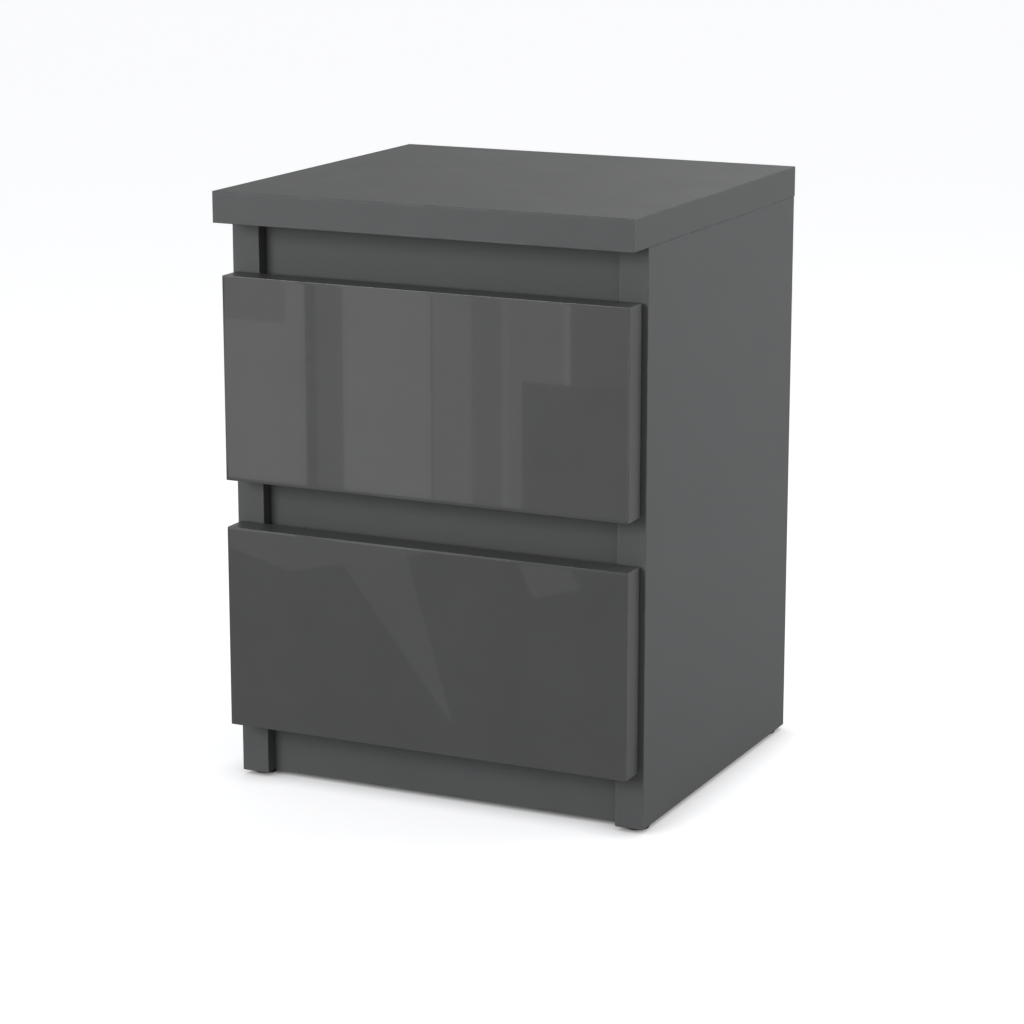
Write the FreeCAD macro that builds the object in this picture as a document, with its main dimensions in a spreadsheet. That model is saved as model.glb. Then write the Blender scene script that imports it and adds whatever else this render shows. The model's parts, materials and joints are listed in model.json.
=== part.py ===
import FreeCAD, Part
import os
import re
import Sketcher

# A compact nightstand with two drawers on roller runners, made of melamine-faced particle board.
#
# Frame: X runs to the right seen from the front, Y towards the wall, Z up. The origin is on the
# floor, below the centre of the top panel. Lengths are millimetres.
#
# The driving sizes stand in the sheet "dims". Every length, place and hole below is an expression
# over those cells, so a changed cell moves whatever touches it.

DIMENSIONS = {
    # top and carcass
    "top_width": 300,
    "top_depth": 282,
    "top_thick": 21,
    "top_overhang": 24.5,  # top's front edge ahead of the side panels' front edges
    "side_reveal": 0.5,  # side panels' outer faces inside the top's ends
    "side_thick": 20,
    "edge_round": 0.5,  # softened edges of the top and the drawer fronts
    "rail_thick": 16,
    "rail_recess": 9,  # rails stand this far behind the side panels' front edges
    "rail_overlap": 8,  # a rail reaches this far behind the drawer front beside it
    "rear_rail_height": 40,
    "floor_thick": 16,
    "back_thick": 3,
    "rebate_width": 10,
    "back_play": 0.5,
    # glides
    "glide_height": 3,
    "glide_radius": 8.2,
    "glide_foot_radius": 7.5,
    "glide_pin_radius": 1.5,
    "glide_pin_length": 10,
    "glide_inset": 14,  # from a side panel's front and rear edges
    # drawer fronts and the reveals round them
    "front_height": 138,
    "front_thick": 19,
    "front_inset": 3.5,  # fronts' ends inside the side panels' outer faces
    "front_gap": 1.5,  # behind a closed front
    "foot_reveal": 39,  # below the lower front
    "front_spacing": 32,  # between the fronts
    "top_reveal": 35,  # above the upper front
    # drawer boxes
    "box_board": 12,
    "box_headroom": 28,  # box's upper edge below its front's upper edge
    "box_rear_gap": 6,
    "sheet_thick": 3,
    "sheet_rise": 12,  # drawer bottom above the box's lower edge
    "groove_depth": 6,
    "sheet_play": 0.5,
    "groove_play": 0.1,
    # roller runners
    "runner_gap": 12.5,  # between a drawer box and a side panel
    "runner_setback": 2,
    "runner_play": 0.8,  # channel above the rail or floor below it
    "steel_thick": 1.2,
    "channel_height": 24.8,
    "channel_floor": 10.7,
    "channel_lip": 9,
    "lift_out_length": 45,  # lip left off, so that the rear roller can come out
    "seat_rise": 4,
    "seat_width": 11.2,
    "running_rise": 21,
    "running_inset": 2.8,
    "tab_height": 3.8,
    "stop_play": 0.2,
    # rollers and their pins
    "roller_radius": 9.5,
    "roller_width": 5.6,
    "roller_inset": 3,
    "roller_play": 0.3,
    "roller_gap": 2.5,  # between front and rear rollers of a drawer pulled right out
    "front_roller_place": 15,
    "rear_roller_place": 10,
    "roller_hub_radius": 4.5,
    "roller_rim_radius": 7.5,
    "roller_dish": 0.8,
    "pin_radius": 2.5,
    "pin_play": 0.05,
    "pin_shoulder_radius": 4,
    "pin_head_thick": 0.8,
    # runner screws
    "screw_radius": 1.75,
    "screw_length": 11.5,
    "screw_head_radius": 3.2,
    "screw_head_thick": 0.9,
    "channel_screw_rise": 19.4,
    "member_screw_rise": 11,
    "screw_front_place": 34,
    "screw_rear_place": 34,
    # joint fittings
    "fit_play": 0.05,
    "end_play": 0.5,
    "cam_radius": 7.5,
    "cam_depth": 12.5,
    "cam_axis_depth": 8,
    "box_cam_depth": 10,
    "box_cam_axis_depth": 6,
    "cam_setback": 24,
    "cam_mouth_radius": 3.5,
    "cam_slot_width": 1.6,
    "cam_slot_length": 8,
    "cam_slot_depth": 2,
    "bolt_thread_radius": 3,
    "bolt_thread_length": 11,
    "bolt_collar_radius": 3.3,
    "bolt_collar_length": 2,
    "bolt_shank_radius": 2.2,
    "bolt_neck_radius": 1.7,
    "bolt_neck_length": 2.5,
    "bolt_head_radius": 3.2,
    "bolt_head_length": 3.5,
    "dowel_radius": 4,
    "box_dowel_radius": 3,
    "dowel_face_depth": 10,
    "dowel_edge_depth": 20,
    "dowel_chamfer": 1,
    "joint_bolt_inset": 40,
    "joint_dowel_inset": 75,
    "rail_bolt_rise": 14,
    "rail_dowel_rise": 32,
    "rail_dowel_place": 60,
    "box_dowel_inset": 24,
    "box_screw_radius": 2,
    "box_screw_length": 35,
    "box_screw_head_radius": 3.5,
    "box_screw_head_thick": 2.5,
    "box_screw_inset": 24,
    "nail_radius": 0.7,
    "nail_length": 16,
    "nail_head_radius": 2.2,
    "nail_head_thick": 0.6,
    "nail_inset": 30,
    "nail_margin": 5,
    "nail_place": 40,
    # bumpers
    "bumper_radius": 4,
    "bumper_crown_radius": 3,
    "bumper_inset": 14,
    "bumper_play": 0.2,
}

doc = FreeCAD.newDocument("Nightstand")
sheet = doc.addObject("Spreadsheet::Sheet", "dims")
for row, (alias, number) in enumerate(DIMENSIONS.items(), start=1):
    sheet.set(f"A{row}", alias)
    sheet.set(f"B{row}", str(number))
    sheet.setAlias(f"B{row}", alias)
doc.recompute()

FUNCTIONS = ("sqrt",)
X_AXIS = FreeCAD.Vector(1, 0, 0)
Y_AXIS = FreeCAD.Vector(0, 1, 0)
Z_AXIS = FreeCAD.Vector(0, 0, 1)
NO_TURN = FreeCAD.Rotation()


# ---------------------------------------------------------------- expressions


def formula(text):
    """Writes an expression over the sheet's aliases the way a document property takes it."""
    return re.sub(
        r"[a-z][a-z_]+",
        lambda word: word.group() if word.group() in FUNCTIONS else "dims." + word.group(),
        str(text),
    )


def value(text):
    """The number that an expression comes to."""
    return float(sheet.evalExpression(formula(text)))


def bind(item, property_name, text):
    """Ties a property to an expression."""
    item.setExpression(property_name, formula(text))


def place(item, spot, turn=NO_TURN):
    """Puts an object at a spot given as three expressions."""
    item.Placement = FreeCAD.Placement(FreeCAD.Vector(*[value(text) for text in spot]), turn)
    for axis, text in zip("xyz", spot):
        bind(item, f"Placement.Base.{axis}", text)


def mirrored(sign, text):
    """An expression for x on the left (-1) or the right (+1) of the middle plane."""
    return f"({sign}) * ({text})"


# Levels and planes that several pieces share.
CARCASS_FRONT = "(top_overhang - top_depth / 2)"
CARCASS_REAR = "(top_depth / 2)"
CARCASS_HALF = "(top_width / 2 - side_reveal)"
INNER_HALF = "(top_width / 2 - side_reveal - side_thick)"
FRONT_HALF = "(top_width / 2 - side_reveal - front_inset)"
BOX_HALF = f"({INNER_HALF} - runner_gap)"
BACK_FACE = "(top_depth / 2 - back_thick)"
SIDE_HEIGHT = "(foot_reveal + 2 * front_height + front_spacing + top_reveal)"
TOP_UNDERSIDE = f"(glide_height + {SIDE_HEIGHT})"
RAIL_FRONT = f"({CARCASS_FRONT} + rail_recess)"
RAIL_REAR = f"({RAIL_FRONT} + rail_thick)"
FLOOR_FACE = "(glide_height + foot_reveal + rail_overlap)"
FRONT_REAR_FACE = f"({CARCASS_FRONT} - front_gap)"
BOX_LIFT = "(rail_overlap + runner_play + seat_rise + steel_thick)"
BOX_HEIGHT = f"(front_height - {BOX_LIFT} - box_headroom)"
BOX_DEPTH = f"({BACK_FACE} - {FRONT_REAR_FACE} - box_rear_gap)"
FRONT_AXIS_RISE = "(running_rise - roller_play - roller_radius)"
REAR_AXIS_RISE = "(steel_thick + roller_play + roller_radius)"
TRAVEL = (
    f"({BOX_DEPTH} - front_gap - runner_setback - rear_roller_place - front_roller_place"
    " - 2 * roller_radius - roller_gap)"
)

SIDES = {"left": -1, "right": 1}
LEVELS = {"lower": 0, "upper": 1}


def front_foot(level):
    """Lower edge of a drawer front."""
    return f"(glide_height + foot_reveal + {level} * (front_height + front_spacing))"


def box_foot(level):
    """Lower edge of a drawer box."""
    return f"({front_foot(level)} + {BOX_LIFT})"


def runner_foot(level):
    """Underside of a drawer's cabinet channels."""
    return f"({front_foot(level)} + rail_overlap + runner_play)"


# ---------------------------------------------------------------- sketches and features


def origin_plane(body, role):
    return next(plane for plane in body.Origin.OriginFeatures if plane.Role == role)


def new_body(name):
    body = doc.addObject("PartDesign::Body", name)
    body.Label = name
    return body


def new_sketch(body, name, role, offset="0"):
    """A sketch on one of the body's origin planes, moved along that plane's normal."""
    sketch = body.newObject("Sketcher::SketchObject", name)
    sketch.AttachmentSupport = [(origin_plane(body, role), "")]
    sketch.MapMode = "FlatFace"
    bind(sketch, "AttachmentOffset.Base.z", offset)
    return sketch


def tie(sketch, edge, point, kind, text):
    """Holds a sketch point at a distance from the sketch's origin."""
    number = value(text)
    if abs(number) < 1e-9:
        axis = -2 if kind == "DistanceX" else -1
        sketch.addConstraint(Sketcher.Constraint("PointOnObject", edge, point, axis))
        return
    ends = (-1, 1, edge, point) if number > 0 else (edge, point, -1, 1)
    index = sketch.addConstraint(Sketcher.Constraint(kind, *ends, abs(number)))
    sketch.renameConstraint(index, f"tie_{index}")
    bind(sketch, f"Constraints.tie_{index}", text if number > 0 else f"-({text})")


def outline(sketch, corners):
    """Adds a closed loop of straight edges through corners given as pairs of expressions."""
    points = [FreeCAD.Vector(value(across), value(up), 0) for across, up in corners]
    first = sketch.GeometryCount
    count = len(corners)
    for step, point in enumerate(points):
        sketch.addGeometry(Part.LineSegment(point, points[(step + 1) % count]), False)
    for step in range(count):
        after = first + (step + 1) % count
        sketch.addConstraint(Sketcher.Constraint("Coincident", first + step, 2, after, 1))
    for step, (across, up) in enumerate(corners):
        tie(sketch, first + step, 1, "DistanceX", across)
        tie(sketch, first + step, 1, "DistanceY", up)


def rectangle(sketch, low, high):
    outline(sketch, [low, (high[0], low[1]), high, (low[0], high[1])])


def rings(sketch, centres, radius):
    """Adds a circle of one radius round each centre."""
    for across, up in centres:
        centre = FreeCAD.Vector(value(across), value(up), 0)
        edge = sketch.addGeometry(Part.Circle(centre, Z_AXIS, value(radius)), False)
        tie(sketch, edge, 3, "DistanceX", across)
        tie(sketch, edge, 3, "DistanceY", up)
        index = sketch.addConstraint(Sketcher.Constraint("Radius", edge, value(radius)))
        sketch.renameConstraint(index, f"ring_{index}")
        bind(sketch, f"Constraints.ring_{index}", radius)


def pad(body, sketch, length, along_normal=True):
    feature = body.newObject("PartDesign::Pad", sketch.Name + "_pad")
    feature.Profile = sketch
    bind(feature, "Length", length)
    feature.Reversed = not along_normal
    doc.recompute()
    return feature


def pocket(body, sketch, depth, along_normal):
    """Cuts a sketch's outline into the body and makes sure that something was cut."""
    before = body.Shape.Volume
    feature = body.newObject("PartDesign::Pocket", sketch.Name + "_pocket")
    feature.Profile = sketch
    bind(feature, "Length", depth)
    feature.Reversed = along_normal
    doc.recompute()
    if body.Shape.Volume > before - 0.01:
        raise SystemExit(f"{sketch.Name} cut nothing")
    return feature


def turned(name, steps):
    """A turned piece along +X: steps are (start, end, radius) of its plain lengths, in order."""
    body = new_body(name)
    sketch = new_sketch(body, name + "_profile", "XY_Plane")
    corners = [(steps[0][0], "0")]
    for start, end, radius in steps:
        corners += [(start, radius), (end, radius)]
    corners.append((steps[-1][1], "0"))
    outline(sketch, corners)
    return revolve(body, sketch)


def revolve(body, sketch):
    feature = body.newObject("PartDesign::Revolution", sketch.Name + "_turn")
    feature.Profile = sketch
    feature.ReferenceAxis = (sketch, ["H_Axis"])
    feature.Angle = 360
    doc.recompute()
    return body


# For each face of a board: origin plane, the two axes in it, the axis across it, whether it is the
# far face, and whether a cut into the board follows the plane's normal.
FACES = {
    "bottom": ("XY_Plane", (0, 1), 2, False, True),
    "top": ("XY_Plane", (0, 1), 2, True, False),
    "left": ("YZ_Plane", (1, 2), 0, False, True),
    "right": ("YZ_Plane", (1, 2), 0, True, False),
    "front": ("XZ_Plane", (0, 2), 1, False, False),
    "back": ("XZ_Plane", (0, 2), 1, True, True),
}


class Board:
    """A rectangular board, with its lowest corner at `corner`.

    Holes and grooves are given in the nightstand's frame, so two boards that share a joint take
    the same places.
    """

    def __init__(self, name, corner, size, softened=False):
        self.corner = corner
        self.size = size
        self.cuts = 0
        self.body = new_body(name)
        plan = new_sketch(self.body, name + "_plan", "XY_Plane")
        rectangle(plan, ("0", "0"), (size[0], size[1]))
        block = pad(self.body, plan, size[2])
        if softened:
            fillet = self.body.newObject("PartDesign::Fillet", name + "_edges")
            fillet.Base = (block, [f"Edge{count + 1}" for count in range(len(block.Shape.Edges))])
            bind(fillet, "Radius", "edge_round")
            doc.recompute()
        place(self.body, corner)

    def local(self, spot, axis):
        return f"({spot[axis]}) - ({self.corner[axis]})"

    def face_sketch(self, face):
        role, axes, across, far, _ = FACES[face]
        offset = self.size[across] if far else "0"
        if role == "XZ_Plane":
            offset = f"-({offset})"
        self.cuts += 1
        name = f"{self.body.Name}_{face}_{self.cuts}"
        return new_sketch(self.body, name, role, offset), axes

    def drill(self, face, spots, radius, depth):
        """Bores blind holes into a face."""
        sketch, (first, second) = self.face_sketch(face)
        centres = [(self.local(spot, first), self.local(spot, second)) for spot in spots]
        rings(sketch, centres, radius)
        pocket(self.body, sketch, depth, FACES[face][4])

    def mill(self, face, low, high, depth):
        """Cuts a rectangular groove or rebate into a face."""
        sketch, (first, second) = self.face_sketch(face)
        start = (self.local(low, first), self.local(low, second))
        end = (self.local(high, first), self.local(high, second))
        rectangle(sketch, start, end)
        pocket(self.body, sketch, depth, FACES[face][4])


def group(name, master, spots):
    """Copies of one fitting as a single node of separate solids: spots are (place, rotation)."""
    copies = []
    for spot, turn in spots:
        copy = doc.addObject("App::Link", f"{name}_copy_{len(copies) + 1}")
        copy.LinkedObject = master
        place(copy, spot, turn)
        copies.append(copy)
    node = doc.addObject("Part::Compound", name)
    node.Label = name
    node.Links = copies
    nodes.append(node)


def along(direction):
    """Turns a fitting's +X to a direction."""
    return FreeCAD.Rotation(X_AXIS, direction)


def facing(toward_joint, out_of_face):
    """Turns a cam: its +X to where its bolt comes from, its +Z out of the board's face."""
    return FreeCAD.Rotation(toward_joint, Y_AXIS, out_of_face, "ZXY")


nodes = []


# ---------------------------------------------------------------- fittings that repeat


def cam_lock(name, depth, axis_depth):
    """A cam: a short drum with a cross slot on its face and a mouth in its rim for a bolt's head."""
    body = new_body(name)
    plan = new_sketch(body, name + "_plan", "XY_Plane")
    rings(plan, [("0", "0")], "cam_radius")
    pad(body, plan, depth, along_normal=False)
    mouth = new_sketch(body, name + "_mouth", "YZ_Plane", "cam_radius")
    rings(mouth, [("0", f"-({axis_depth})")], "cam_mouth_radius")
    pocket(body, mouth, "cam_radius + cam_mouth_radius", along_normal=False)
    for wide, high in (("cam_slot_length", "cam_slot_width"), ("cam_slot_width", "cam_slot_length")):
        slot = new_sketch(body, f"{name}_slot_{wide}", "XY_Plane")
        rectangle(slot, (f"-{wide} / 2", f"-{high} / 2"), (f"{wide} / 2", f"{high} / 2"))
        pocket(body, slot, "cam_slot_depth", along_normal=False)
    return body


def cam_bolt():
    """A bolt that threads into one board and ends in a head that a cam in the other board pulls."""
    head_end = "(cam_setback + bolt_head_radius / 2)"
    head_start = f"({head_end} - bolt_head_length)"
    neck_start = f"({head_start} - bolt_neck_length)"
    return turned(
        "cam_bolt_master",
        [
            ("-bolt_thread_length", "0", "bolt_thread_radius"),
            ("0", "bolt_collar_length", "bolt_collar_radius"),
            ("bolt_collar_length", neck_start, "bolt_shank_radius"),
            (neck_start, head_start, "bolt_neck_radius"),
            (head_start, head_end, "bolt_head_radius"),
        ],
    )


def dowel(name, radius):
    """A wood dowel, with its shorter length in a board's face and its longer one in an edge."""
    body = new_body(name)
    sketch = new_sketch(body, name + "_profile", "XY_Plane")
    outline(
        sketch,
        [
            ("-dowel_face_depth", "0"),
            ("-dowel_face_depth", f"{radius} - dowel_chamfer"),
            ("dowel_chamfer - dowel_face_depth", radius),
            ("dowel_edge_depth - dowel_chamfer", radius),
            ("dowel_edge_depth", f"{radius} - dowel_chamfer"),
            ("dowel_edge_depth", "0"),
        ],
    )
    return revolve(body, sketch)


def roller(name, spot):
    """A nylon roller, dished on both faces between its hub and its rim, on an axis along X."""
    body = new_body(name)
    sketch = new_sketch(body, name + "_profile", "XY_Plane")
    half = "roller_width / 2"
    dish = f"({half} - roller_dish)"
    outline(
        sketch,
        [
            (f"-{half}", "pin_radius + pin_play"),
            (half, "pin_radius + pin_play"),
            (half, "roller_hub_radius"),
            (dish, "roller_hub_radius"),
            (dish, "roller_rim_radius"),
            (half, "roller_rim_radius"),
            (half, "roller_radius"),
            (f"-{half}", "roller_radius"),
            (f"-{half}", "roller_rim_radius"),
            (f"-{dish}", "roller_rim_radius"),
            (f"-{dish}", "roller_hub_radius"),
            (f"-{half}", "roller_hub_radius"),
        ],
    )
    place(revolve(body, sketch), spot)
    nodes.append(body)


big_cam = cam_lock("cam_lock_master", "cam_depth", "cam_axis_depth")
box_cam = cam_lock("box_cam_lock_master", "box_cam_depth", "box_cam_axis_depth")
bolt = cam_bolt()
big_dowel = dowel("dowel_master", "dowel_radius")
box_dowel = dowel("box_dowel_master", "box_dowel_radius")
runner_screw = turned(
    "runner_screw_master",
    [
        ("-screw_head_thick", "0", "screw_head_radius"),
        ("0", "screw_length", "screw_radius"),
    ],
)
box_screw = turned(
    "box_screw_master",
    [
        ("0", "box_screw_head_thick", "box_screw_head_radius"),
        ("box_screw_head_thick", "box_screw_length", "box_screw_radius"),
    ],
)
nail = turned(
    "nail_master",
    [
        ("0", "nail_head_thick", "nail_head_radius"),
        ("nail_head_thick", "nail_length", "nail_radius"),
    ],
)
bumper = turned(
    "bumper_master",
    [
        ("0", "(front_gap - bumper_play) / 2", "bumper_radius"),
        ("(front_gap - bumper_play) / 2", "front_gap - bumper_play", "bumper_crown_radius"),
    ],
)
ROLLER_NEAR = "(roller_inset - roller_play)"
ROLLER_FAR = "(roller_inset + roller_width + roller_play)"
channel_pin = turned(
    "channel_pin_master",
    [
        ("0", "steel_thick", "pin_radius"),
        ("steel_thick", ROLLER_NEAR, "pin_shoulder_radius"),
        (ROLLER_NEAR, ROLLER_FAR, "pin_radius"),
        (ROLLER_FAR, f"{ROLLER_FAR} + pin_head_thick", "pin_shoulder_radius"),
    ],
)
member_pin = turned(
    "member_pin_master",
    [
        ("0", "steel_thick", "pin_radius"),
        ("steel_thick", f"runner_gap - {ROLLER_FAR}", "pin_shoulder_radius"),
        (f"runner_gap - {ROLLER_FAR}", f"runner_gap - {ROLLER_NEAR}", "pin_radius"),
        (
            f"runner_gap - {ROLLER_NEAR}",
            f"runner_gap - {ROLLER_NEAR} + pin_head_thick",
            "pin_shoulder_radius",
        ),
    ],
)

# ---------------------------------------------------------------- carcass joints

# A joint is where two boards meet: `face_board` takes the bolt's thread and the dowel's short end
# in its face, and the other board takes a cam and the dowel's long end in its edge.


class Rail:
    """A rail between the side panels; its cams open on the face that looks into the cabinet."""

    def __init__(self, name, front, foot, height, cam_face):
        self.name = name
        self.foot = foot
        self.cam_face = cam_face
        self.board = Board(
            name, (f"-{INNER_HALF}", front, foot), (f"2 * {INNER_HALF}", "rail_thick", height)
        )
        self.middle = f"({front} + rail_thick / 2)"
        if cam_face == "back":
            self.cam_plane = f"({front} + rail_thick)"
            self.bolt_line = f"({front} + rail_thick - cam_axis_depth)"
            self.outward = Y_AXIS
        else:
            self.cam_plane = front
            self.bolt_line = f"({front} + cam_axis_depth)"
            self.outward = -Y_AXIS


cam_spots = []
bolt_spots = []
dowel_spots = []


def drill_cam_joint(board, edge, cam_face, bolts, cams, dowels):
    """Cuts one board for its cams, for the bolts that reach them and for its dowels."""
    board.drill(edge, bolts, "cam_mouth_radius", "cam_setback")
    board.drill(edge, dowels, "dowel_radius + fit_play", "dowel_edge_depth + end_play")
    board.drill(cam_face, cams, "cam_radius + fit_play", "cam_depth + end_play")


def drill_face_joint(board, face, bolts, dowels):
    """Cuts the other board for the bolts' threads and the dowels' short ends."""
    thread_depth = "bolt_thread_length + end_play"
    board.drill(face, bolts, "bolt_thread_radius + fit_play", thread_depth)
    board.drill(face, dowels, "dowel_radius + fit_play", "dowel_face_depth + end_play")


rails = [
    Rail("plinth_rail", RAIL_FRONT, "glide_height", "foot_reveal + rail_overlap", "back"),
    Rail(
        "middle_rail",
        RAIL_FRONT,
        f"({front_foot(1)} - front_spacing - rail_overlap)",
        "front_spacing + 2 * rail_overlap",
        "back",
    ),
    Rail(
        "upper_rail",
        RAIL_FRONT,
        f"({TOP_UNDERSIDE} - top_reveal - rail_overlap)",
        "top_reveal + rail_overlap",
        "back",
    ),
    Rail(
        "rear_rail",
        f"({BACK_FACE} - rail_thick)",
        f"({TOP_UNDERSIDE} - rear_rail_height)",
        "rear_rail_height",
        "front",
    ),
]
plinth_rail, middle_rail, upper_rail, rear_rail = rails

top_panel = Board(
    "top_panel",
    ("-top_width / 2", "-top_depth / 2", TOP_UNDERSIDE),
    ("top_width", "top_depth", "top_thick"),
    softened=True,
)
bottom_panel = Board(
    "bottom_panel",
    (f"-{INNER_HALF}", RAIL_REAR, f"({FLOOR_FACE} - floor_thick)"),
    (f"2 * {INNER_HALF}", f"({BACK_FACE} - {RAIL_REAR})", "floor_thick"),
)
side_panels = {}
for side, sign in SIDES.items():
    low_x = f"-{CARCASS_HALF}" if sign < 0 else INNER_HALF
    side_panels[side] = Board(
        f"{side}_side_panel",
        (low_x, CARCASS_FRONT, "glide_height"),
        ("side_thick", f"({CARCASS_REAR} - {CARCASS_FRONT})", SIDE_HEIGHT),
    )

# Top to side panels: bolts stand in the top, cams open on the side panels' inner faces.
JOINT_LINES = {
    "bolts": (f"({CARCASS_FRONT} + joint_bolt_inset)", f"({CARCASS_REAR} - joint_bolt_inset)"),
    "dowels": (f"({CARCASS_FRONT} + joint_dowel_inset)", f"({CARCASS_REAR} - joint_dowel_inset)"),
}
for side, sign in SIDES.items():
    inner_face = "right" if sign < 0 else "left"
    inward = -sign * X_AXIS
    bolt_x = mirrored(sign, f"{INNER_HALF} + cam_axis_depth")
    dowel_x = mirrored(sign, f"{INNER_HALF} + side_thick / 2")
    inner_x = mirrored(sign, INNER_HALF)
    bolts = [(bolt_x, line, TOP_UNDERSIDE) for line in JOINT_LINES["bolts"]]
    dowels = [(dowel_x, line, TOP_UNDERSIDE) for line in JOINT_LINES["dowels"]]
    cams = [(inner_x, line, f"({TOP_UNDERSIDE} - cam_setback)") for line in JOINT_LINES["bolts"]]
    drill_cam_joint(side_panels[side], "top", inner_face, bolts, cams, dowels)
    drill_face_joint(top_panel, "bottom", bolts, dowels)
    bolt_spots += [(spot, along(-Z_AXIS)) for spot in bolts]
    dowel_spots += [(spot, along(-Z_AXIS)) for spot in dowels]
    cam_spots += [(spot, facing(Z_AXIS, inward)) for spot in cams]

# Rails to side panels.
for rail in rails:
    for side, sign in SIDES.items():
        inner_face = "right" if sign < 0 else "left"
        inward = -sign * X_AXIS
        inner_x = mirrored(sign, INNER_HALF)
        bolt_z = f"({rail.foot} + rail_bolt_rise)"
        bolts = [(inner_x, rail.bolt_line, bolt_z)]
        dowels = [(inner_x, rail.middle, f"({rail.foot} + rail_dowel_rise)")]
        cams = [(mirrored(sign, f"{INNER_HALF} - cam_setback"), rail.cam_plane, bolt_z)]
        drill_cam_joint(rail.board, side, rail.cam_face, bolts, cams, dowels)
        drill_face_joint(side_panels[side], inner_face, bolts, dowels)
        bolt_spots += [(spot, along(inward)) for spot in bolts]
        dowel_spots += [(spot, along(inward)) for spot in dowels]
        cam_spots += [(spot, facing(-inward, rail.outward)) for spot in cams]

# Bottom panel to side panels: cams open on its underside.
floor_underside = f"({FLOOR_FACE} - floor_thick)"
for side, sign in SIDES.items():
    inner_face = "right" if sign < 0 else "left"
    inward = -sign * X_AXIS
    inner_x = mirrored(sign, INNER_HALF)
    bolt_z = f"({floor_underside} + cam_axis_depth)"
    bolt_lines = (f"({RAIL_REAR} + joint_bolt_inset)", f"({BACK_FACE} - joint_bolt_inset)")
    dowel_lines = (f"({RAIL_REAR} + joint_dowel_inset)", f"({BACK_FACE} - joint_dowel_inset)")
    bolts = [(inner_x, line, bolt_z) for line in bolt_lines]
    dowels = [(inner_x, line, bolt_z) for line in dowel_lines]
    cam_x = mirrored(sign, f"{INNER_HALF} - cam_setback")
    cams = [(cam_x, line, floor_underside) for line in bolt_lines]
    drill_cam_joint(bottom_panel, side, "bottom", bolts, cams, dowels)
    drill_face_joint(side_panels[side], inner_face, bolts, dowels)
    bolt_spots += [(spot, along(inward)) for spot in bolts]
    dowel_spots += [(spot, along(inward)) for spot in dowels]
    cam_spots += [(spot, facing(-inward, -Z_AXIS)) for spot in cams]

# Dowels that line up the plinth with the bottom panel, and the upper and rear rails with the top.
FACE_HOLE = ("dowel_radius + fit_play", "dowel_face_depth + end_play")
EDGE_HOLE = ("dowel_radius + fit_play", "dowel_edge_depth + end_play")
places = [mirrored(sign, "rail_dowel_place") for sign in SIDES.values()]
floor_dowels = [(x, RAIL_REAR, f"({floor_underside} + floor_thick / 2)") for x in places]
plinth_rail.board.drill("back", floor_dowels, *FACE_HOLE)
bottom_panel.drill("front", floor_dowels, *EDGE_HOLE)
dowel_spots += [(spot, along(Y_AXIS)) for spot in floor_dowels]
for rail in (upper_rail, rear_rail):
    top_dowels = [(x, rail.middle, TOP_UNDERSIDE) for x in places]
    rail.board.drill("top", top_dowels, *EDGE_HOLE)
    top_panel.drill("bottom", top_dowels, *FACE_HOLE)
    dowel_spots += [(spot, along(-Z_AXIS)) for spot in top_dowels]

nodes.append(top_panel.body)
nodes.append(bottom_panel.body)
nodes += [rail.board.body for rail in rails]
nodes += [panel.body for panel in side_panels.values()]
group("cam_locks", big_cam, cam_spots)
group("cam_bolts", bolt, bolt_spots)
group("wood_dowels", big_dowel, dowel_spots)

# ---------------------------------------------------------------- back panel and its nails

back_half = f"({INNER_HALF} + rebate_width - back_play)"
back_panel = Board(
    "back_panel",
    (f"-{back_half}", BACK_FACE, floor_underside),
    (f"2 * {back_half}", "back_thick", f"({TOP_UNDERSIDE} - back_play - {floor_underside})"),
)
for side, sign in SIDES.items():
    inner_face = "right" if sign < 0 else "left"
    low = (None, BACK_FACE, floor_underside)
    high = (None, CARCASS_REAR, TOP_UNDERSIDE)
    side_panels[side].mill(inner_face, low, high, "rebate_width")

side_nails = [
    (mirrored(sign, f"{INNER_HALF} + nail_margin"), CARCASS_REAR, rise)
    for sign in SIDES.values()
    for rise in (
        f"({floor_underside} + nail_inset)",
        f"(({floor_underside} + {TOP_UNDERSIDE}) / 2)",
        f"({TOP_UNDERSIDE} - nail_inset)",
    )
]
nail_places = [mirrored(sign, "nail_place") for sign in SIDES.values()]
rail_nails = [(x, CARCASS_REAR, f"({TOP_UNDERSIDE} - nail_inset / 2)") for x in nail_places]
floor_nails = [(x, CARCASS_REAR, f"({floor_underside} + floor_thick / 2)") for x in nail_places]
nail_hole = ("nail_radius + fit_play", "nail_length + end_play")
all_nails = side_nails + rail_nails + floor_nails
back_panel.drill("back", all_nails, "nail_radius + fit_play", "back_thick")
back_panel.drill("back", all_nails, "nail_head_radius + fit_play", "nail_head_thick")
for count, side in enumerate(SIDES):
    side_panels[side].drill("back", side_nails[3 * count : 3 * count + 3], *nail_hole)
rear_rail.board.drill("back", rail_nails, "nail_radius + fit_play", "nail_length - back_thick + end_play")
bottom_panel.drill("back", floor_nails, "nail_radius + fit_play", "nail_length - back_thick + end_play")
nodes.append(back_panel.body)
group("back_panel_nails", nail, [(spot, along(-Y_AXIS)) for spot in all_nails])

# ---------------------------------------------------------------- glides


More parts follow.
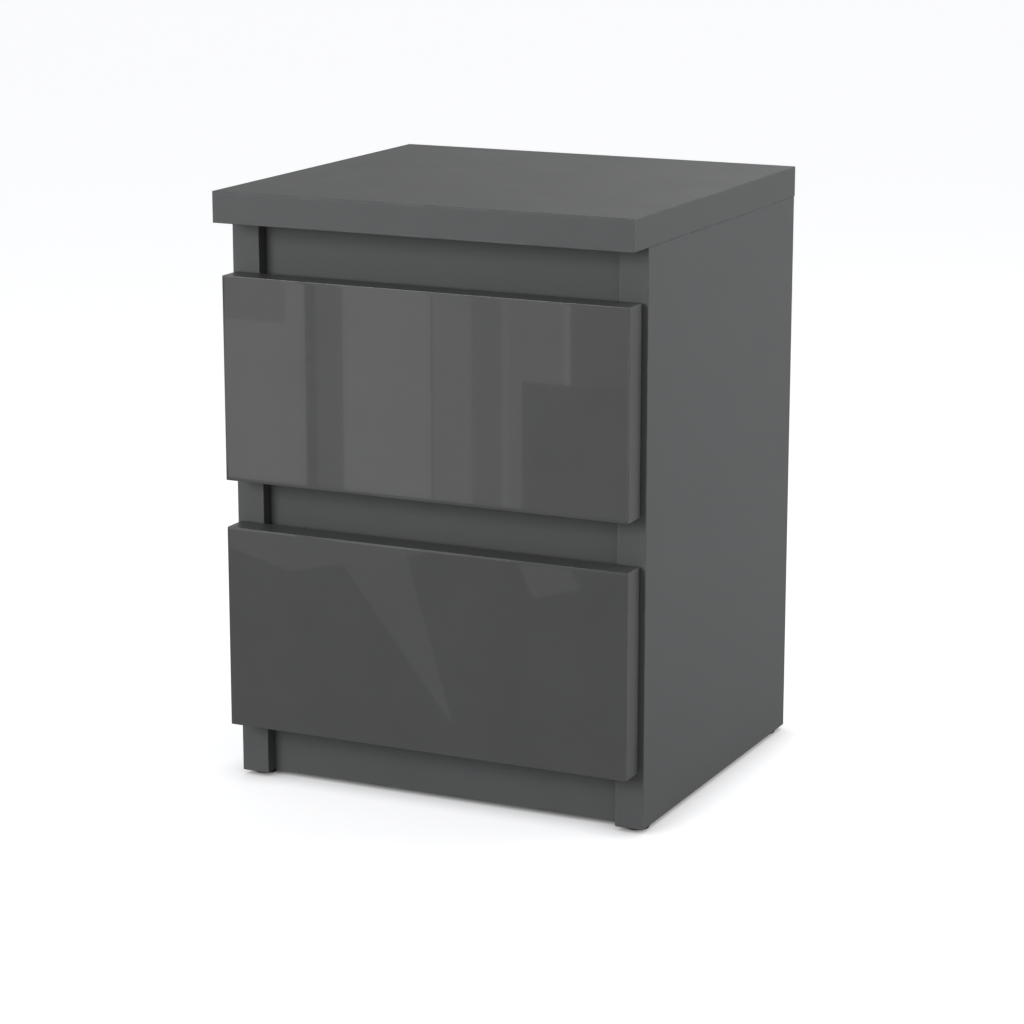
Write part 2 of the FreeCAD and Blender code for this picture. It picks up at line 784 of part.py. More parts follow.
def glide(name, spot):
    """A plastic glide: a disc that narrows to the floor, with a pin that is driven into a panel."""
    body = new_body(name)
    sketch = new_sketch(body, name + "_profile", "XY_Plane")
    outline(
        sketch,
        [
            ("-glide_height", "0"),
            ("-glide_height", "glide_foot_radius"),
            ("-glide_height * 2 / 3", "glide_radius"),
            ("0", "glide_radius"),
            ("0", "glide_pin_radius"),
            ("glide_pin_length", "glide_pin_radius"),
            ("glide_pin_length", "0"),
        ],
    )
    place(revolve(body, sketch), spot, along(Z_AXIS))
    nodes.append(body)


GLIDE_LINES = {
    "front": f"({CARCASS_FRONT} + glide_inset)",
    "rear": f"({CARCASS_REAR} - glide_inset)",
}
for side, sign in SIDES.items():
    glide_x = mirrored(sign, f"{INNER_HALF} + side_thick / 2")
    glide_spots = [(glide_x, line, "glide_height") for line in GLIDE_LINES.values()]
    hole = ("glide_pin_radius + fit_play", "glide_pin_length + end_play")
    side_panels[side].drill("bottom", glide_spots, *hole)
    for end, line in GLIDE_LINES.items():
        glide(f"{end}_{side}_glide", (glide_x, line, "glide_height"))

# ---------------------------------------------------------------- runners


def runner_point(sign, depth, rise):
    """A point of a runner's section: depth from the side panel's inner face, and rise."""
    return (mirrored(-sign, depth), rise)


def web_holes(body, sign, plane_depth, spots, radius):
    """Holes through an upright web of steel: spots are (place along the runner, rise)."""
    name = f"{body.Name}_holes_{len(body.Group)}"
    sketch = new_sketch(body, name, "YZ_Plane", mirrored(-sign, plane_depth))
    rings(sketch, spots, radius)
    pocket(body, sketch, "steel_thick", along_normal=sign < 0)


def screw_places(length):
    """Three screws along a runner."""
    return ("screw_front_place", f"({length} / 2)", f"({length} - screw_rear_place)")


def cabinet_channel(name, sign, level):
    """The channel on a side panel: web, floor that the rear roller runs on, lip above it."""
    body = new_body(name)
    section = new_sketch(body, name + "_section", "XZ_Plane")
    corners = [
        ("0", "0"),
        ("channel_floor", "0"),
        ("channel_floor", "steel_thick"),
        ("steel_thick", "steel_thick"),
        ("steel_thick", "channel_height - steel_thick"),
        ("channel_lip", "channel_height - steel_thick"),
        ("channel_lip", "channel_height"),
        ("0", "channel_height"),
    ]
    outline(section, [runner_point(sign, depth, rise) for depth, rise in corners])
    pad(body, section, BOX_DEPTH, along_normal=False)

    lift_out = new_sketch(body, name + "_lift_out", "XY_Plane", "channel_height")
    near = mirrored(-sign, "steel_thick")
    far = mirrored(-sign, "channel_lip")
    rectangle(lift_out, (near, "0"), (far, "lift_out_length"))
    pocket(body, lift_out, "steel_thick", along_normal=False)

    # The tab stops the rear roller at the end of the drawer's travel.
    parked = f"({BOX_DEPTH} - front_gap - runner_setback - rear_roller_place)"
    drop = f"({REAR_AXIS_RISE} - steel_thick - tab_height)"
    chord = f"sqrt(roller_radius * roller_radius - {drop} * {drop})"
    tab_rear = f"({parked} - {TRAVEL} - {chord} - stop_play)"
    tab = new_sketch(body, name + "_tab", "XY_Plane", "steel_thick")
    near = mirrored(-sign, "roller_inset")
    far = mirrored(-sign, "roller_inset + roller_width")
    rectangle(tab, (near, f"{tab_rear} - steel_thick"), (far, tab_rear))
    pad(body, tab, "tab_height")

    web_holes(body, sign, "0", [("front_roller_place", FRONT_AXIS_RISE)], "pin_radius + pin_play")
    screws = [(spot, "channel_screw_rise") for spot in screw_places(BOX_DEPTH)]
    web_holes(body, sign, "0", screws, "screw_radius + fit_play")
    spot = (mirrored(sign, INNER_HALF), f"({CARCASS_FRONT} + runner_setback)", runner_foot(level))
    place(body, spot)
    nodes.append(body)
    return body


def drawer_member(name, sign, level):
    """The member under a drawer side: web, seat below the side, flange that the front roller carries."""
    body = new_body(name)
    section = new_sketch(body, name + "_section", "XZ_Plane")
    web = "(runner_gap - steel_thick)"
    corners = [
        ("running_inset", "running_rise"),
        (web, "running_rise"),
        (web, "seat_rise"),
        (f"{web} + seat_width", "seat_rise"),
        (f"{web} + seat_width", "seat_rise + steel_thick"),
        ("runner_gap", "seat_rise + steel_thick"),
        ("runner_gap", "running_rise + steel_thick"),
        ("running_inset", "running_rise + steel_thick"),
    ]
    outline(section, [runner_point(sign, depth, rise) for depth, rise in corners])
    pad(body, section, BOX_DEPTH, along_normal=False)
    pin_spot = (f"({BOX_DEPTH} - rear_roller_place)", REAR_AXIS_RISE)
    web_holes(body, sign, web, [pin_spot], "pin_radius + pin_play")
    screws = [(spot, "member_screw_rise") for spot in screw_places(BOX_DEPTH)]
    web_holes(body, sign, web, screws, "screw_radius + fit_play")
    place(body, (mirrored(sign, INNER_HALF), FRONT_REAR_FACE, runner_foot(level)))
    nodes.append(body)
    return body


channel_pins = []
channel_screws = []
for height, level in LEVELS.items():
    for side, sign in SIDES.items():
        cabinet_channel(f"{height}_{side}_cabinet_channel", sign, level)
        inward = -sign * X_AXIS
        channel_start = f"({CARCASS_FRONT} + runner_setback)"
        line = f"({channel_start} + front_roller_place)"
        axis_z = f"({runner_foot(level)} + {FRONT_AXIS_RISE})"
        centre_x = mirrored(sign, f"{INNER_HALF} - roller_inset - roller_width / 2")
        roller(f"{height}_{side}_front_roller", (centre_x, line, axis_z))
        channel_pins.append(((mirrored(sign, INNER_HALF), line, axis_z), along(inward)))
        screw_z = f"({runner_foot(level)} + channel_screw_rise)"
        web_face = mirrored(sign, f"{INNER_HALF} - steel_thick")
        spots = [
            (web_face, f"({channel_start} + {spot})", screw_z) for spot in screw_places(BOX_DEPTH)
        ]
        channel_screws += [(spot, along(-inward)) for spot in spots]
        inner_face = "right" if sign < 0 else "left"
        hole = ("screw_radius + fit_play", "screw_length - steel_thick + end_play")
        side_panels[side].drill(inner_face, spots, *hole)
group("cabinet_roller_pins", channel_pin, channel_pins)
group("cabinet_channel_screws", runner_screw, channel_screws)

# ---------------------------------------------------------------- drawers


def drawer(height, level):
    """One drawer: a front, a box of four boards round a thin bottom, fittings, and its runners."""
    foot = box_foot(level)
    rim = f"({foot} + {BOX_HEIGHT})"
    box_rear = f"({FRONT_REAR_FACE} + {BOX_DEPTH})"
    inside = f"({BOX_HALF} - box_board)"

    front = Board(
        f"{height}_drawer_front",
        (f"-{FRONT_HALF}", f"({FRONT_REAR_FACE} - front_thick)", front_foot(level)),
        (f"2 * {FRONT_HALF}", "front_thick", "front_height"),
        softened=True,
    )
    back = Board(
        f"{height}_drawer_back",
        (f"-{inside}", f"({box_rear} - box_board)", foot),
        (f"2 * {inside}", "box_board", BOX_HEIGHT),
    )
    sheet_half = f"({inside} + groove_depth - sheet_play)"
    sheet_front = f"({FRONT_REAR_FACE} - groove_depth + sheet_play)"
    sheet_rear = f"({box_rear} - box_board + groove_depth - sheet_play)"
    bottom = Board(
        f"{height}_drawer_bottom",
        (f"-{sheet_half}", sheet_front, f"({foot} + sheet_rise)"),
        (f"2 * {sheet_half}", f"({sheet_rear} - {sheet_front})", "sheet_thick"),
    )
    groove_low = f"({foot} + sheet_rise - groove_play)"
    groove_high = f"({foot} + sheet_rise + sheet_thick + groove_play)"
    groove_half = f"({inside} + groove_depth)"
    front.mill(
        "back", (f"-{groove_half}", None, groove_low), (groove_half, None, groove_high), "groove_depth"
    )
    back.mill("front", (f"-{inside}", None, groove_low), (inside, None, groove_high), "groove_depth")

    bolt_z = f"({foot} + {BOX_HEIGHT} / 2)"
    dowel_levels = (f"({foot} + box_dowel_inset)", f"({rim} - box_dowel_inset)")
    screw_levels = (f"({foot} + box_screw_inset)", f"({rim} - box_screw_inset)")
    bumper_levels = (
        f"({front_foot(level)} + bumper_inset)",
        f"({front_foot(level)} + front_height - bumper_inset)",
    )
    screw_line = f"({box_rear} - box_board / 2)"
    cams, bolts, dowels, box_screws, bumpers = [], [], [], [], []
    pins, member_screws = [], []
    for side, sign in SIDES.items():
        inward = -sign * X_AXIS
        outer_face, inner_face = ("left", "right") if sign < 0 else ("right", "left")
        low_x = f"-{BOX_HALF}" if sign < 0 else inside
        board = Board(
            f"{height}_drawer_{side}_side",
            (low_x, FRONT_REAR_FACE, foot),
            ("box_board", BOX_DEPTH, BOX_HEIGHT),
        )
        groove_end = f"({box_rear} - box_board + groove_depth)"
        board.mill(
            inner_face,
            (None, FRONT_REAR_FACE, groove_low),
            (None, groove_end, groove_high),
            "groove_depth",
        )
        # Front joint: the bolt and dowels stand in the front's rear face.
        bolt_x = mirrored(sign, f"{BOX_HALF} - box_cam_axis_depth")
        dowel_x = mirrored(sign, f"{BOX_HALF} - box_board / 2")
        outer_x = mirrored(sign, BOX_HALF)
        bolt_spot = (bolt_x, FRONT_REAR_FACE, bolt_z)
        side_dowels = [(dowel_x, FRONT_REAR_FACE, rise) for rise in dowel_levels]
        cam_spot = (outer_x, f"({FRONT_REAR_FACE} + cam_setback)", bolt_z)
        board.drill("front", [bolt_spot], "cam_mouth_radius", "cam_setback")
        board.drill(
            "front", side_dowels, "box_dowel_radius + fit_play", "dowel_edge_depth + end_play"
        )
        board.drill(outer_face, [cam_spot], "cam_radius + fit_play", "box_cam_depth + fit_play")
        front.drill(
            "back", [bolt_spot], "bolt_thread_radius + fit_play", "bolt_thread_length + end_play"
        )
        front.drill("back", side_dowels, "box_dowel_radius + fit_play", "dowel_face_depth + end_play")
        cams.append((cam_spot, facing(-Y_AXIS, -inward)))
        bolts.append((bolt_spot, along(Y_AXIS)))
        dowels += [(spot, along(Y_AXIS)) for spot in side_dowels]
        # Rear joint: screws through the side into the end of the back.
        spots = [(outer_x, screw_line, rise) for rise in screw_levels]
        board.drill(outer_face, spots, "box_screw_radius + fit_play", "box_board")
        board.drill(
            outer_face, spots, "box_screw_head_radius + fit_play", "box_screw_head_thick + fit_play"
        )
        back_depth = "box_screw_length - box_board + end_play"
        back.drill(side, spots, "box_screw_radius + fit_play", back_depth)
        box_screws += [(spot, along(inward)) for spot in spots]
        # Runner member, its screws, and the rear roller on its pin.
        drawer_member(f"{height}_{side}_drawer_member", sign, level)
        member_z = f"({runner_foot(level)} + member_screw_rise)"
        head_x = mirrored(sign, f"{BOX_HALF} + steel_thick")
        spots = [
            (head_x, f"({FRONT_REAR_FACE} + {spot})", member_z) for spot in screw_places(BOX_DEPTH)
        ]
        hole = ("screw_radius + fit_play", "screw_length - steel_thick + fit_play")
        board.drill(outer_face, spots, *hole)
        member_screws += [(spot, along(inward)) for spot in spots]
        line = f"({box_rear} - rear_roller_place)"
        axis_z = f"({runner_foot(level)} + {REAR_AXIS_RISE})"
        centre_x = mirrored(sign, f"{INNER_HALF} - roller_inset - roller_width / 2")
        roller(f"{height}_{side}_rear_roller", (centre_x, line, axis_z))
        pins.append(((outer_x, line, axis_z), along(-inward)))
        # Bumpers land on the side panels' front edges.
        bumper_x = mirrored(sign, f"{INNER_HALF} + side_thick / 2")
        bumpers += [((bumper_x, FRONT_REAR_FACE, rise), along(Y_AXIS)) for rise in bumper_levels]
        nodes.append(board.body)
    nodes.extend([front.body, back.body, bottom.body])
    group(f"{height}_drawer_cam_locks", box_cam, cams)
    group(f"{height}_drawer_cam_bolts", bolt, bolts)
    group(f"{height}_drawer_dowels", box_dowel, dowels)
    group(f"{height}_drawer_back_screws", box_screw, box_screws)
    group(f"{height}_drawer_member_screws", runner_screw, member_screws)
    group(f"{height}_drawer_roller_pins", member_pin, pins)
    group(f"{height}_drawer_bumpers", bumper, bumpers)


for height, level in LEVELS.items():
    drawer(height, level)

# ---------------------------------------------------------------- checks and files

doc.recompute()
for item in doc.Objects:
    if "Invalid" in item.State or "Error" in item.State:
        raise SystemExit(f"{item.Name} failed: {item.State}")
for node in nodes:
    if node.Shape.isNull() or not node.Shape.isValid():
        raise SystemExit(f"{node.Label} has no valid shape")
    if node.TypeId == "PartDesign::Body" and len(node.Shape.Solids) != 1:
        raise SystemExit(f"{node.Label} is not one solid")

os.makedirs("parts", exist_ok=True)
for node in nodes:
    node.Shape.exportStep(f"parts/{node.Label}.step")
print(f"{len(nodes)} nodes; each drawer travels {value(TRAVEL):.1f} mm")
print(f"drawer box {value(BOX_DEPTH):.1f} deep, {value(BOX_HEIGHT):.1f} high")
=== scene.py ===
# %% [markdown]
# # A compact nightstand with two drawers
#
# The nightstand is board furniture: particle board faced with matt graphite paper, joined with cams
# and dowels, and two drawers with high-gloss fronts that run on nylon rollers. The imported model
# gives every piece its place and size. This lesson builds the finished surfaces over it: boards
# with banded and softened edges, bent steel runners, turned rollers, screws and cams.
#
# The frame comes first, because every piece reads its place from it.

# %% Load the frame
import json
import math

import bmesh
import bpy
import numpy as np
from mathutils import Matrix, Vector

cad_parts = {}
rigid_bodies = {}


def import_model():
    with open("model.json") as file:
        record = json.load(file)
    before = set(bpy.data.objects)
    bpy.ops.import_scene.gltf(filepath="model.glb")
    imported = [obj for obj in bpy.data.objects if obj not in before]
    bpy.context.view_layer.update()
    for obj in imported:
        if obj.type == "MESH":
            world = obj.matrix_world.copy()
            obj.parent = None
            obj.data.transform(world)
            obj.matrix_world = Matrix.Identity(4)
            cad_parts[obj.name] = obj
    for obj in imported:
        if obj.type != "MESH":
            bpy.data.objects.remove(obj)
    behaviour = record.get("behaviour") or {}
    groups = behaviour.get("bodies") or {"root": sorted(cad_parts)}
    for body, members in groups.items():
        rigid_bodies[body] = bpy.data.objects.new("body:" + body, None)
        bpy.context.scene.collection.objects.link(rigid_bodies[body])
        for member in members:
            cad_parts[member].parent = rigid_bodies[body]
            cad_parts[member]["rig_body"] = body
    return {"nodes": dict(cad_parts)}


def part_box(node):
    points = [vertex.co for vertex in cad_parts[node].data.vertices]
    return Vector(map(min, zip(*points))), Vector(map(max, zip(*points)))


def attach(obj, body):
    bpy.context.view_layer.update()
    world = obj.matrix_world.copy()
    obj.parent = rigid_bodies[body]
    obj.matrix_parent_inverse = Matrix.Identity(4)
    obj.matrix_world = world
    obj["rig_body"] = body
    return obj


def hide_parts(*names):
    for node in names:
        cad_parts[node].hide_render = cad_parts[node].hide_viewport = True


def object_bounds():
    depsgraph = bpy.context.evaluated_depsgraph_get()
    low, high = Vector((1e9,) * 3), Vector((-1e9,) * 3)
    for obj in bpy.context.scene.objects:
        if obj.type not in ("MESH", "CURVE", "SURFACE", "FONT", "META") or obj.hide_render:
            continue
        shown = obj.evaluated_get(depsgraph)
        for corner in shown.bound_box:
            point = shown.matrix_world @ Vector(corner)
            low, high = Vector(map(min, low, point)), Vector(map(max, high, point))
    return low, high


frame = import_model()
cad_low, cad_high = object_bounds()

MM = 0.001
print("CAD box in mm:", [round(v / MM, 1) for v in cad_low], [round(v / MM, 1) for v in cad_high])

# %% [markdown]
# ## Camera
#
# The camera stands to the right of the front and a little above the top, with a long lens, as for a
# catalogue picture. It could be placed by a bare location, but an aim point, two angles and a
# distance say what the view is, so the location is worked out from them.

# %% Camera
CAMERA_AZIMUTH = math.radians(25.4)
CAMERA_ELEVATION = math.radians(13.47)
CAMERA_DISTANCE = 2.189
CAMERA_LENS = 112.07
FRAME_WIDTH = 36
AIM_FROM_CENTRE = Vector((2.7, -5.7, -26.1)) * MM

centre = (cad_low + cad_high) / 2
aim = centre + AIM_FROM_CENTRE
towards_camera = Vector(
    (
        math.sin(CAMERA_AZIMUTH) * math.cos(CAMERA_ELEVATION),
        -math.cos(CAMERA_AZIMUTH) * math.cos(CAMERA_ELEVATION),
        math.sin(CAMERA_ELEVATION),
    )
)
camera_data = bpy.data.cameras.new("camera")
camera_data.lens = CAMERA_LENS
camera_data.sensor_width = FRAME_WIDTH
camera = bpy.data.objects.new("camera", camera_data)
camera.location = aim + towards_camera * CAMERA_DISTANCE
camera.rotation_euler = (-towards_camera).to_track_quat("-Z", "Y").to_euler()
bpy.context.scene.collection.objects.link(camera)
bpy.context.scene.camera = camera
print("camera at", [round(v, 3) for v in camera.location])

# %% [markdown]
# ## Shells worked out as grids
#
# Every new surface here is a grid of points: rows run along a profile, columns run round it. One
# function turns a grid into faces, and a second turns a closed shell the right way out. The volume
# test is exact for a closed shell, where recalculating normals only guesses.


# %% Grid faces and orientation
def grid_faces(rows, columns, wrap_rows=False):
    """Quads between neighbours of a grid whose columns close on themselves; rows close if asked."""
    row = np.arange(rows if wrap_rows else rows - 1)
    column = np.arange(columns)
    row, column = np.meshgrid(row, column, indexing="ij")
    next_row = (row + 1) % rows
    next_column = (column + 1) % columns
    corners = [
        row * columns + column,
        row * columns + next_column,
        next_row * columns + next_column,
        next_row * columns + column,
    ]
    return np.stack(corners, axis=-1).reshape(-1, 4)


def outward(points, quads, caps):
    """Flips every face if the shell's volume is negative.

    The volume is a sixth of the sum of a . (b x c) over the shell's triangles.
    """
    a, b, c, d = (points[quads[:, k]] for k in range(4))
    volume = np.einsum("ij,ij->", a, np.cross(b, c)) + np.einsum("ij,ij->", a, np.cross(c, d))
    for cap in caps:
        ring = points[cap]
        first = np.broadcast_to(ring[0], ring[1:-1].shape)
        volume += np.einsum("ij,ij->", first, np.cross(ring[1:-1], ring[2:]))
    if volume < 0:
        quads = quads[:, ::-1]
        caps = [cap[::-1] for cap in caps]
    return points, quads, caps


def closed_grid(grid, wrap_rows=False):
    """A shell from a grid of points (rows, columns, 3), closed by one flat face at each end."""
    rows, columns = grid.shape[:2]
    quads = grid_faces(rows, columns, wrap_rows)
    caps = []
    if not wrap_rows:
        caps = [np.arange(columns)[::-1], np.arange(columns) + (rows - 1) * columns]
    return outward(grid.reshape(-1, 3), quads, caps)


# %% [markdown]
# ## From shells to a piece
#
# A piece is one mesh object made of one or more shells. Shared points are merged, so poles and seams
# close. Edges sharper than 35 degrees stay crisp, and the rest shade smoothly. The piece then rides
# on its node's body, takes the finishes it is given and hides the imported node in its place.

# %% Make a piece
SHARP = math.radians(35)


def corners_of(node):
    """A node's lowest and highest corners at rest."""
    low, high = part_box(node)
    return np.array(low), np.array(high)


def mesh_of(name, shells):
    """Joins shells in one mesh and merges the points that coincide."""
    points, faces, start = [], [], 0
    for shell_points, quads, caps in shells:
        points.append(shell_points)
        faces += (quads + start).tolist()
        faces += [(cap + start).tolist() for cap in caps]
        start += len(shell_points)
    mesh = bpy.data.meshes.new(name)
    mesh.from_pydata(np.concatenate(points).tolist(), [], faces)
    tidy = bmesh.new()
    tidy.from_mesh(mesh)
    bmesh.ops.remove_doubles(tidy, verts=tidy.verts, dist=1e-7)
    bmesh.ops.dissolve_degenerate(tidy, edges=tidy.edges, dist=1e-8)
    tidy.to_mesh(mesh)
    tidy.free()
    return mesh


def add_object(name, mesh):
    """A mesh as an object of the scene, at the origin."""
    piece = bpy.data.objects.new(name, mesh)
    bpy.context.scene.collection.objects.link(piece)
    return piece


def new_piece(name, shells):
    """An object made of shells."""
    return add_object(name, mesh_of(name, shells))


def finish_piece(piece, node, *materials):
    """Shades a piece, gives it its materials, and joins it to the frame in its node's place."""
    piece.data.polygons.foreach_set("use_smooth", np.ones(len(piece.data.polygons), bool))
    piece.data.set_sharp_from_angle(angle=SHARP)
    for material in materials:
        piece.data.materials.append(material)
    body = frame["nodes"][node]["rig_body"]
    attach(piece, body)
    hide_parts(node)
    print(f"{piece.name}: {len(piece.data.polygons)} faces on {body}")


# %% [markdown]
# ## A board with softened, banded edges
#
# A real board's edge is a strip of plastic band glued on and trimmed, so its corner is a small arc
# and a hairline seam runs beside it. A box with a Bevel modifier would give the arc but not the seam.
# So the board is a profile carried round a rounded rectangle: bottom face, seam, arc, edge, arc,
# seam, top face. Each row is the rectangle drawn in by that row's inset.


# %% Slab surface
WEAR_REACH = 1.4 * MM
SUPPORT = 3 * MM
SEAM_DEPTH = 0.05 * MM
WEAR_MARGIN = 0.2 * MM


def rounded_rectangle(half_u, half_v, corner, insets, steps=4):
    """Rows of points of a rounded rectangle drawn in by each inset.

    A corner's centre stands in from the outer corner by the larger of the inset and the corner
    radius, and the arc round it has the corner radius less the inset, but never less than nothing.
    One more point on each side of a corner, a support's length along the edge, keeps what happens
    at the corner from spreading along the board.
    """
    quarter = np.arange(4)[:, None] * 90
    angle = np.radians(quarter + np.concatenate([[0], np.linspace(0, 90, steps + 1), [90]])).ravel()
    before = np.array([[1, 0, -1, 0], [0, 1, 0, -1]])
    back = np.zeros((2, 4, steps + 3))
    back[:, :, 0] = -np.roll(before, -1, axis=1)
    back[:, :, -1] = -before
    back = back.reshape(2, -1)
    sign_u = np.repeat([1, -1, -1, 1], steps + 3)
    sign_v = np.repeat([1, 1, -1, -1], steps + 3)
    stand_in = np.maximum(insets, corner)[:, None]
    radius = np.maximum(corner - insets, 0)[:, None]
    move = np.maximum(SUPPORT - stand_in, 0)
    u = sign_u * (half_u - stand_in) + radius * np.cos(angle) + back[0] * move
    v = sign_v * (half_v - stand_in) + radius * np.sin(angle) + back[1] * move
    return u, v


def edge_profile(thick, round_radius, seam, steps=4):
    """Insets and heights from the bottom face's middle, round the edge, to the top face's middle.

    A quarter circle of the round's radius joins each face to the edge. The seam is a V notch a
    tenth of a millimetre wide and half as deep, one band's thickness in from the edge.
    """
    sweep = np.radians(np.linspace(0, 90, steps + 1))
    inset = round_radius * (1 - np.sin(sweep))
    rise = round_radius * (1 - np.cos(sweep))
    face_inset, face_rise = [round_radius + WEAR_REACH + WEAR_MARGIN], [0]
    if seam:
        face_inset += [seam + SEAM_DEPTH, seam, seam - SEAM_DEPTH]
        face_rise += [0, SEAM_DEPTH, 0]
    inset = np.concatenate([face_inset, inset, [0]])
    rise = np.concatenate([face_rise, rise, [min(round_radius + WEAR_REACH, thick / 2)]])
    return np.concatenate([inset, inset[::-1]]), np.concatenate([rise, thick - rise[::-1]])


def slab(low, high, axis, round_radius=0.5 * MM, corner=0.6 * MM, seam=1.0 * MM):
    """A board from its lowest to its highest corner, its broad faces across `axis`."""
    u_axis, v_axis = (axis + 1) % 3, (axis + 2) % 3
    half = (high - low) / 2
    inset, rise = edge_profile(2 * half[axis], round_radius, seam)
    u, v = rounded_rectangle(half[u_axis], half[v_axis], corner, inset)
    grid = np.empty(u.shape + (3,))
    grid[..., u_axis] = low[u_axis] + half[u_axis] + u
    grid[..., v_axis] = low[v_axis] + half[v_axis] + v
    grid[..., axis] = low[axis] + rise[:, None]
    return closed_grid(grid)


# %% [markdown]
# ## Turned parts
#
# Rollers, pins, glides, nails, bumpers and the cutters for round holes are all turned: a profile of
# places along an axis and radii, carried round it. A radius of nothing closes an end in a pole.


# %% Turned surface and soft corners
def turned(profile, origin, direction, segments=48, ring=False):
    """A surface of revolution: origin + along * direction + radius * (cos t * side + sin t * up)."""
    profile = np.array(profile, float)
    direction = np.array(direction, float)
    side = np.roll(np.abs(direction), 1)
    up = np.cross(direction, side)
    angle = np.linspace(0, 2 * np.pi, segments, endpoint=False)
    around = np.cos(angle)[:, None] * side + np.sin(angle)[:, None] * up
    along = profile[:, 0][:, None, None] * direction
    grid = np.array(origin, float) + along + profile[:, 1][:, None, None] * around
    return closed_grid(grid, wrap_rows=ring)


def rod(radius, start, end):
    """The profile of a plain round rod."""
    return [(start, 0), (start, radius), (end, radius), (end, 0)]


def softened(corners, radius, steps=3):
    """Rounds each inner corner of an open polyline by a quadratic curve from side to side.

    The curve starts and ends `radius` from the corner, or half a side away where the side is
    shorter, and its point at t is (1-t)^2 start + 2t(1-t) corner + t^2 end.
    """
    corners = np.array(corners, float)
    t = np.linspace(0, 1, steps + 1)[:, None]
    rows = [corners[:1]]
    for before, corner, after in zip(corners[:-2], corners[1:-1], corners[2:]):
        back, ahead = before - corner, after - corner
        start = corner + back * min(0.5, radius / np.linalg.norm(back))
        end = corner + ahead * min(0.5, radius / np.linalg.norm(ahead))
        rows.append((1 - t) ** 2 * start + 2 * t * (1 - t) * corner + t**2 * end)
    return np.concatenate(rows + [corners[-1:]])


# %% [markdown]
# ## Sheet steel bent along its length
#
# A runner is a strip of steel folded lengthwise. Its section is a centre line with round bends, given
# its thickness by stepping half of it to each side. A solid with sharp folds would look machined;
# the bends' round outsides are what says sheet steel.


# %% Bent strip
def strip_section(line, thick):
    """The closed outline of a strip: the line moved half the thickness along its normals, and back."""
    line = np.array(line, float)
    tangent = np.gradient(line, axis=0)
    tangent /= np.linalg.norm(tangent, axis=1)[:, None]
    normal = np.stack([-tangent[:, 1], tangent[:, 0]], axis=1)
    return np.concatenate([line + normal * thick / 2, (line - normal * thick / 2)[::-1]])


def bends(corners, radius, steps=5):
    """Replaces each inner corner of a right-angled line by points on a quarter circle."""
    corners = np.array(corners, float)
    t = np.radians(np.linspace(0, 90, steps + 1))[:, None]
    rows = [corners[:1]]
    for before, corner, after in zip(corners[:-2], corners[1:-1], corners[2:]):
        back = (before - corner) / np.linalg.norm(before - corner)
        ahead = (after - corner) / np.linalg.norm(after - corner)
        hub = corner + (back + ahead) * radius
        rows.append(hub - ahead * radius * np.cos(t) - back * radius * np.sin(t))
    return np.concatenate(rows + [corners[-1:]])


def extruded(section, start, end):
    """A closed section in X and Z carried from one Y to another."""
    grid = np.empty((2, len(section), 3))
    grid[..., 0] = section[:, 0]
    grid[..., 2] = section[:, 1]
    grid[0, :, 1] = start
    grid[1, :, 1] = end
    return closed_grid(grid)


# %% [markdown]
# ## Cutting holes
#
# Bores for cams, screw slots and the rebate for the back are real cuts. They could be drawn as dark
# spots in a material, but the edge of a hole catches light, so each board is cut by its cutters with
# one Boolean, applied at once so that the finished mesh is plain.


# %% Cut a piece by shells
def combine(piece, shells, operation="DIFFERENCE"):
    """Subtracts shells from a piece, or joins them to it, and keeps the result as its mesh."""
    tool = add_object("tool", mesh_of("tool", shells))
    step = piece.modifiers.new("combine", "BOOLEAN")
    step.object = tool
    step.operation = operation
    step.solver = "EXACT"
    graph = bpy.context.evaluated_depsgraph_get()
    result = bpy.data.meshes.new_from_object(piece.evaluated_get(graph))
    piece.modifiers.clear()
    old = piece.data
    piece.data = result
    result.name = piece.name
    bpy.data.meshes.remove(old)
    bpy.data.meshes.remove(tool.data)
    return piece


def block(low, high):
    """A plain closed block, used only as a cutter."""
    low, high = np.array(low, float), np.array(high, float)
    grid = np.empty((2, 4, 3))
    grid[..., 0] = np.array([low[0], high[0], high[0], low[0]])
    grid[..., 1] = np.array([low[1], low[1], high[1], high[1]])
    grid[..., 2] = np.array([low[2], high[2]])[:, None]
    return closed_grid(grid)


def unit(axis, direction=1):
    """The unit vector along an axis, forwards or backwards."""
    vector = np.zeros(3)
    vector[axis] = direction
    return vector


def prism(outline, centre, axis, rows):
    """An outline carried along an axis: rows are (place from the centre, share of the outline)."""
    u, v = (axis + 1) % 3, (axis + 2) % 3
    grid = np.empty((len(rows), len(outline), 3))
    place, share = np.array(rows, float).T
    grid[..., u] = centre[u] + share[:, None] * outline[:, 0]
    grid[..., v] = centre[v] + share[:, None] * outline[:, 1]
    grid[..., axis] = centre[axis] + place[:, None]
    return closed_grid(grid)


def plus_outline(span, width):
    """The twelve corners of a plus sign: one arm's three corners, turned by each quarter."""
    reach, half = span / 2, width / 2
    arm = np.array([(reach, -half), (reach, half), (half, half)])
    quarter = np.arange(4)[:, None] * np.pi / 2
    u = arm[:, 0] * np.cos(quarter) - arm[:, 1] * np.sin(quarter)
    v = arm[:, 0] * np.sin(quarter) + arm[:, 1] * np.cos(quarter)
    return np.stack([u.ravel(), v.ravel()], axis=1)


def stadium_outline(length, width, steps=8):
    """Two half circles joined by straight sides; the length runs along the outline's first axis."""
    angle = np.radians(np.linspace(-90, 90, steps + 1))
    u = width / 2 * np.cos(angle) + (length - width) / 2
    v = width / 2 * np.sin(angle)
    return np.concatenate([np.stack([u, v], axis=1), np.stack([-u, -v], axis=1)])


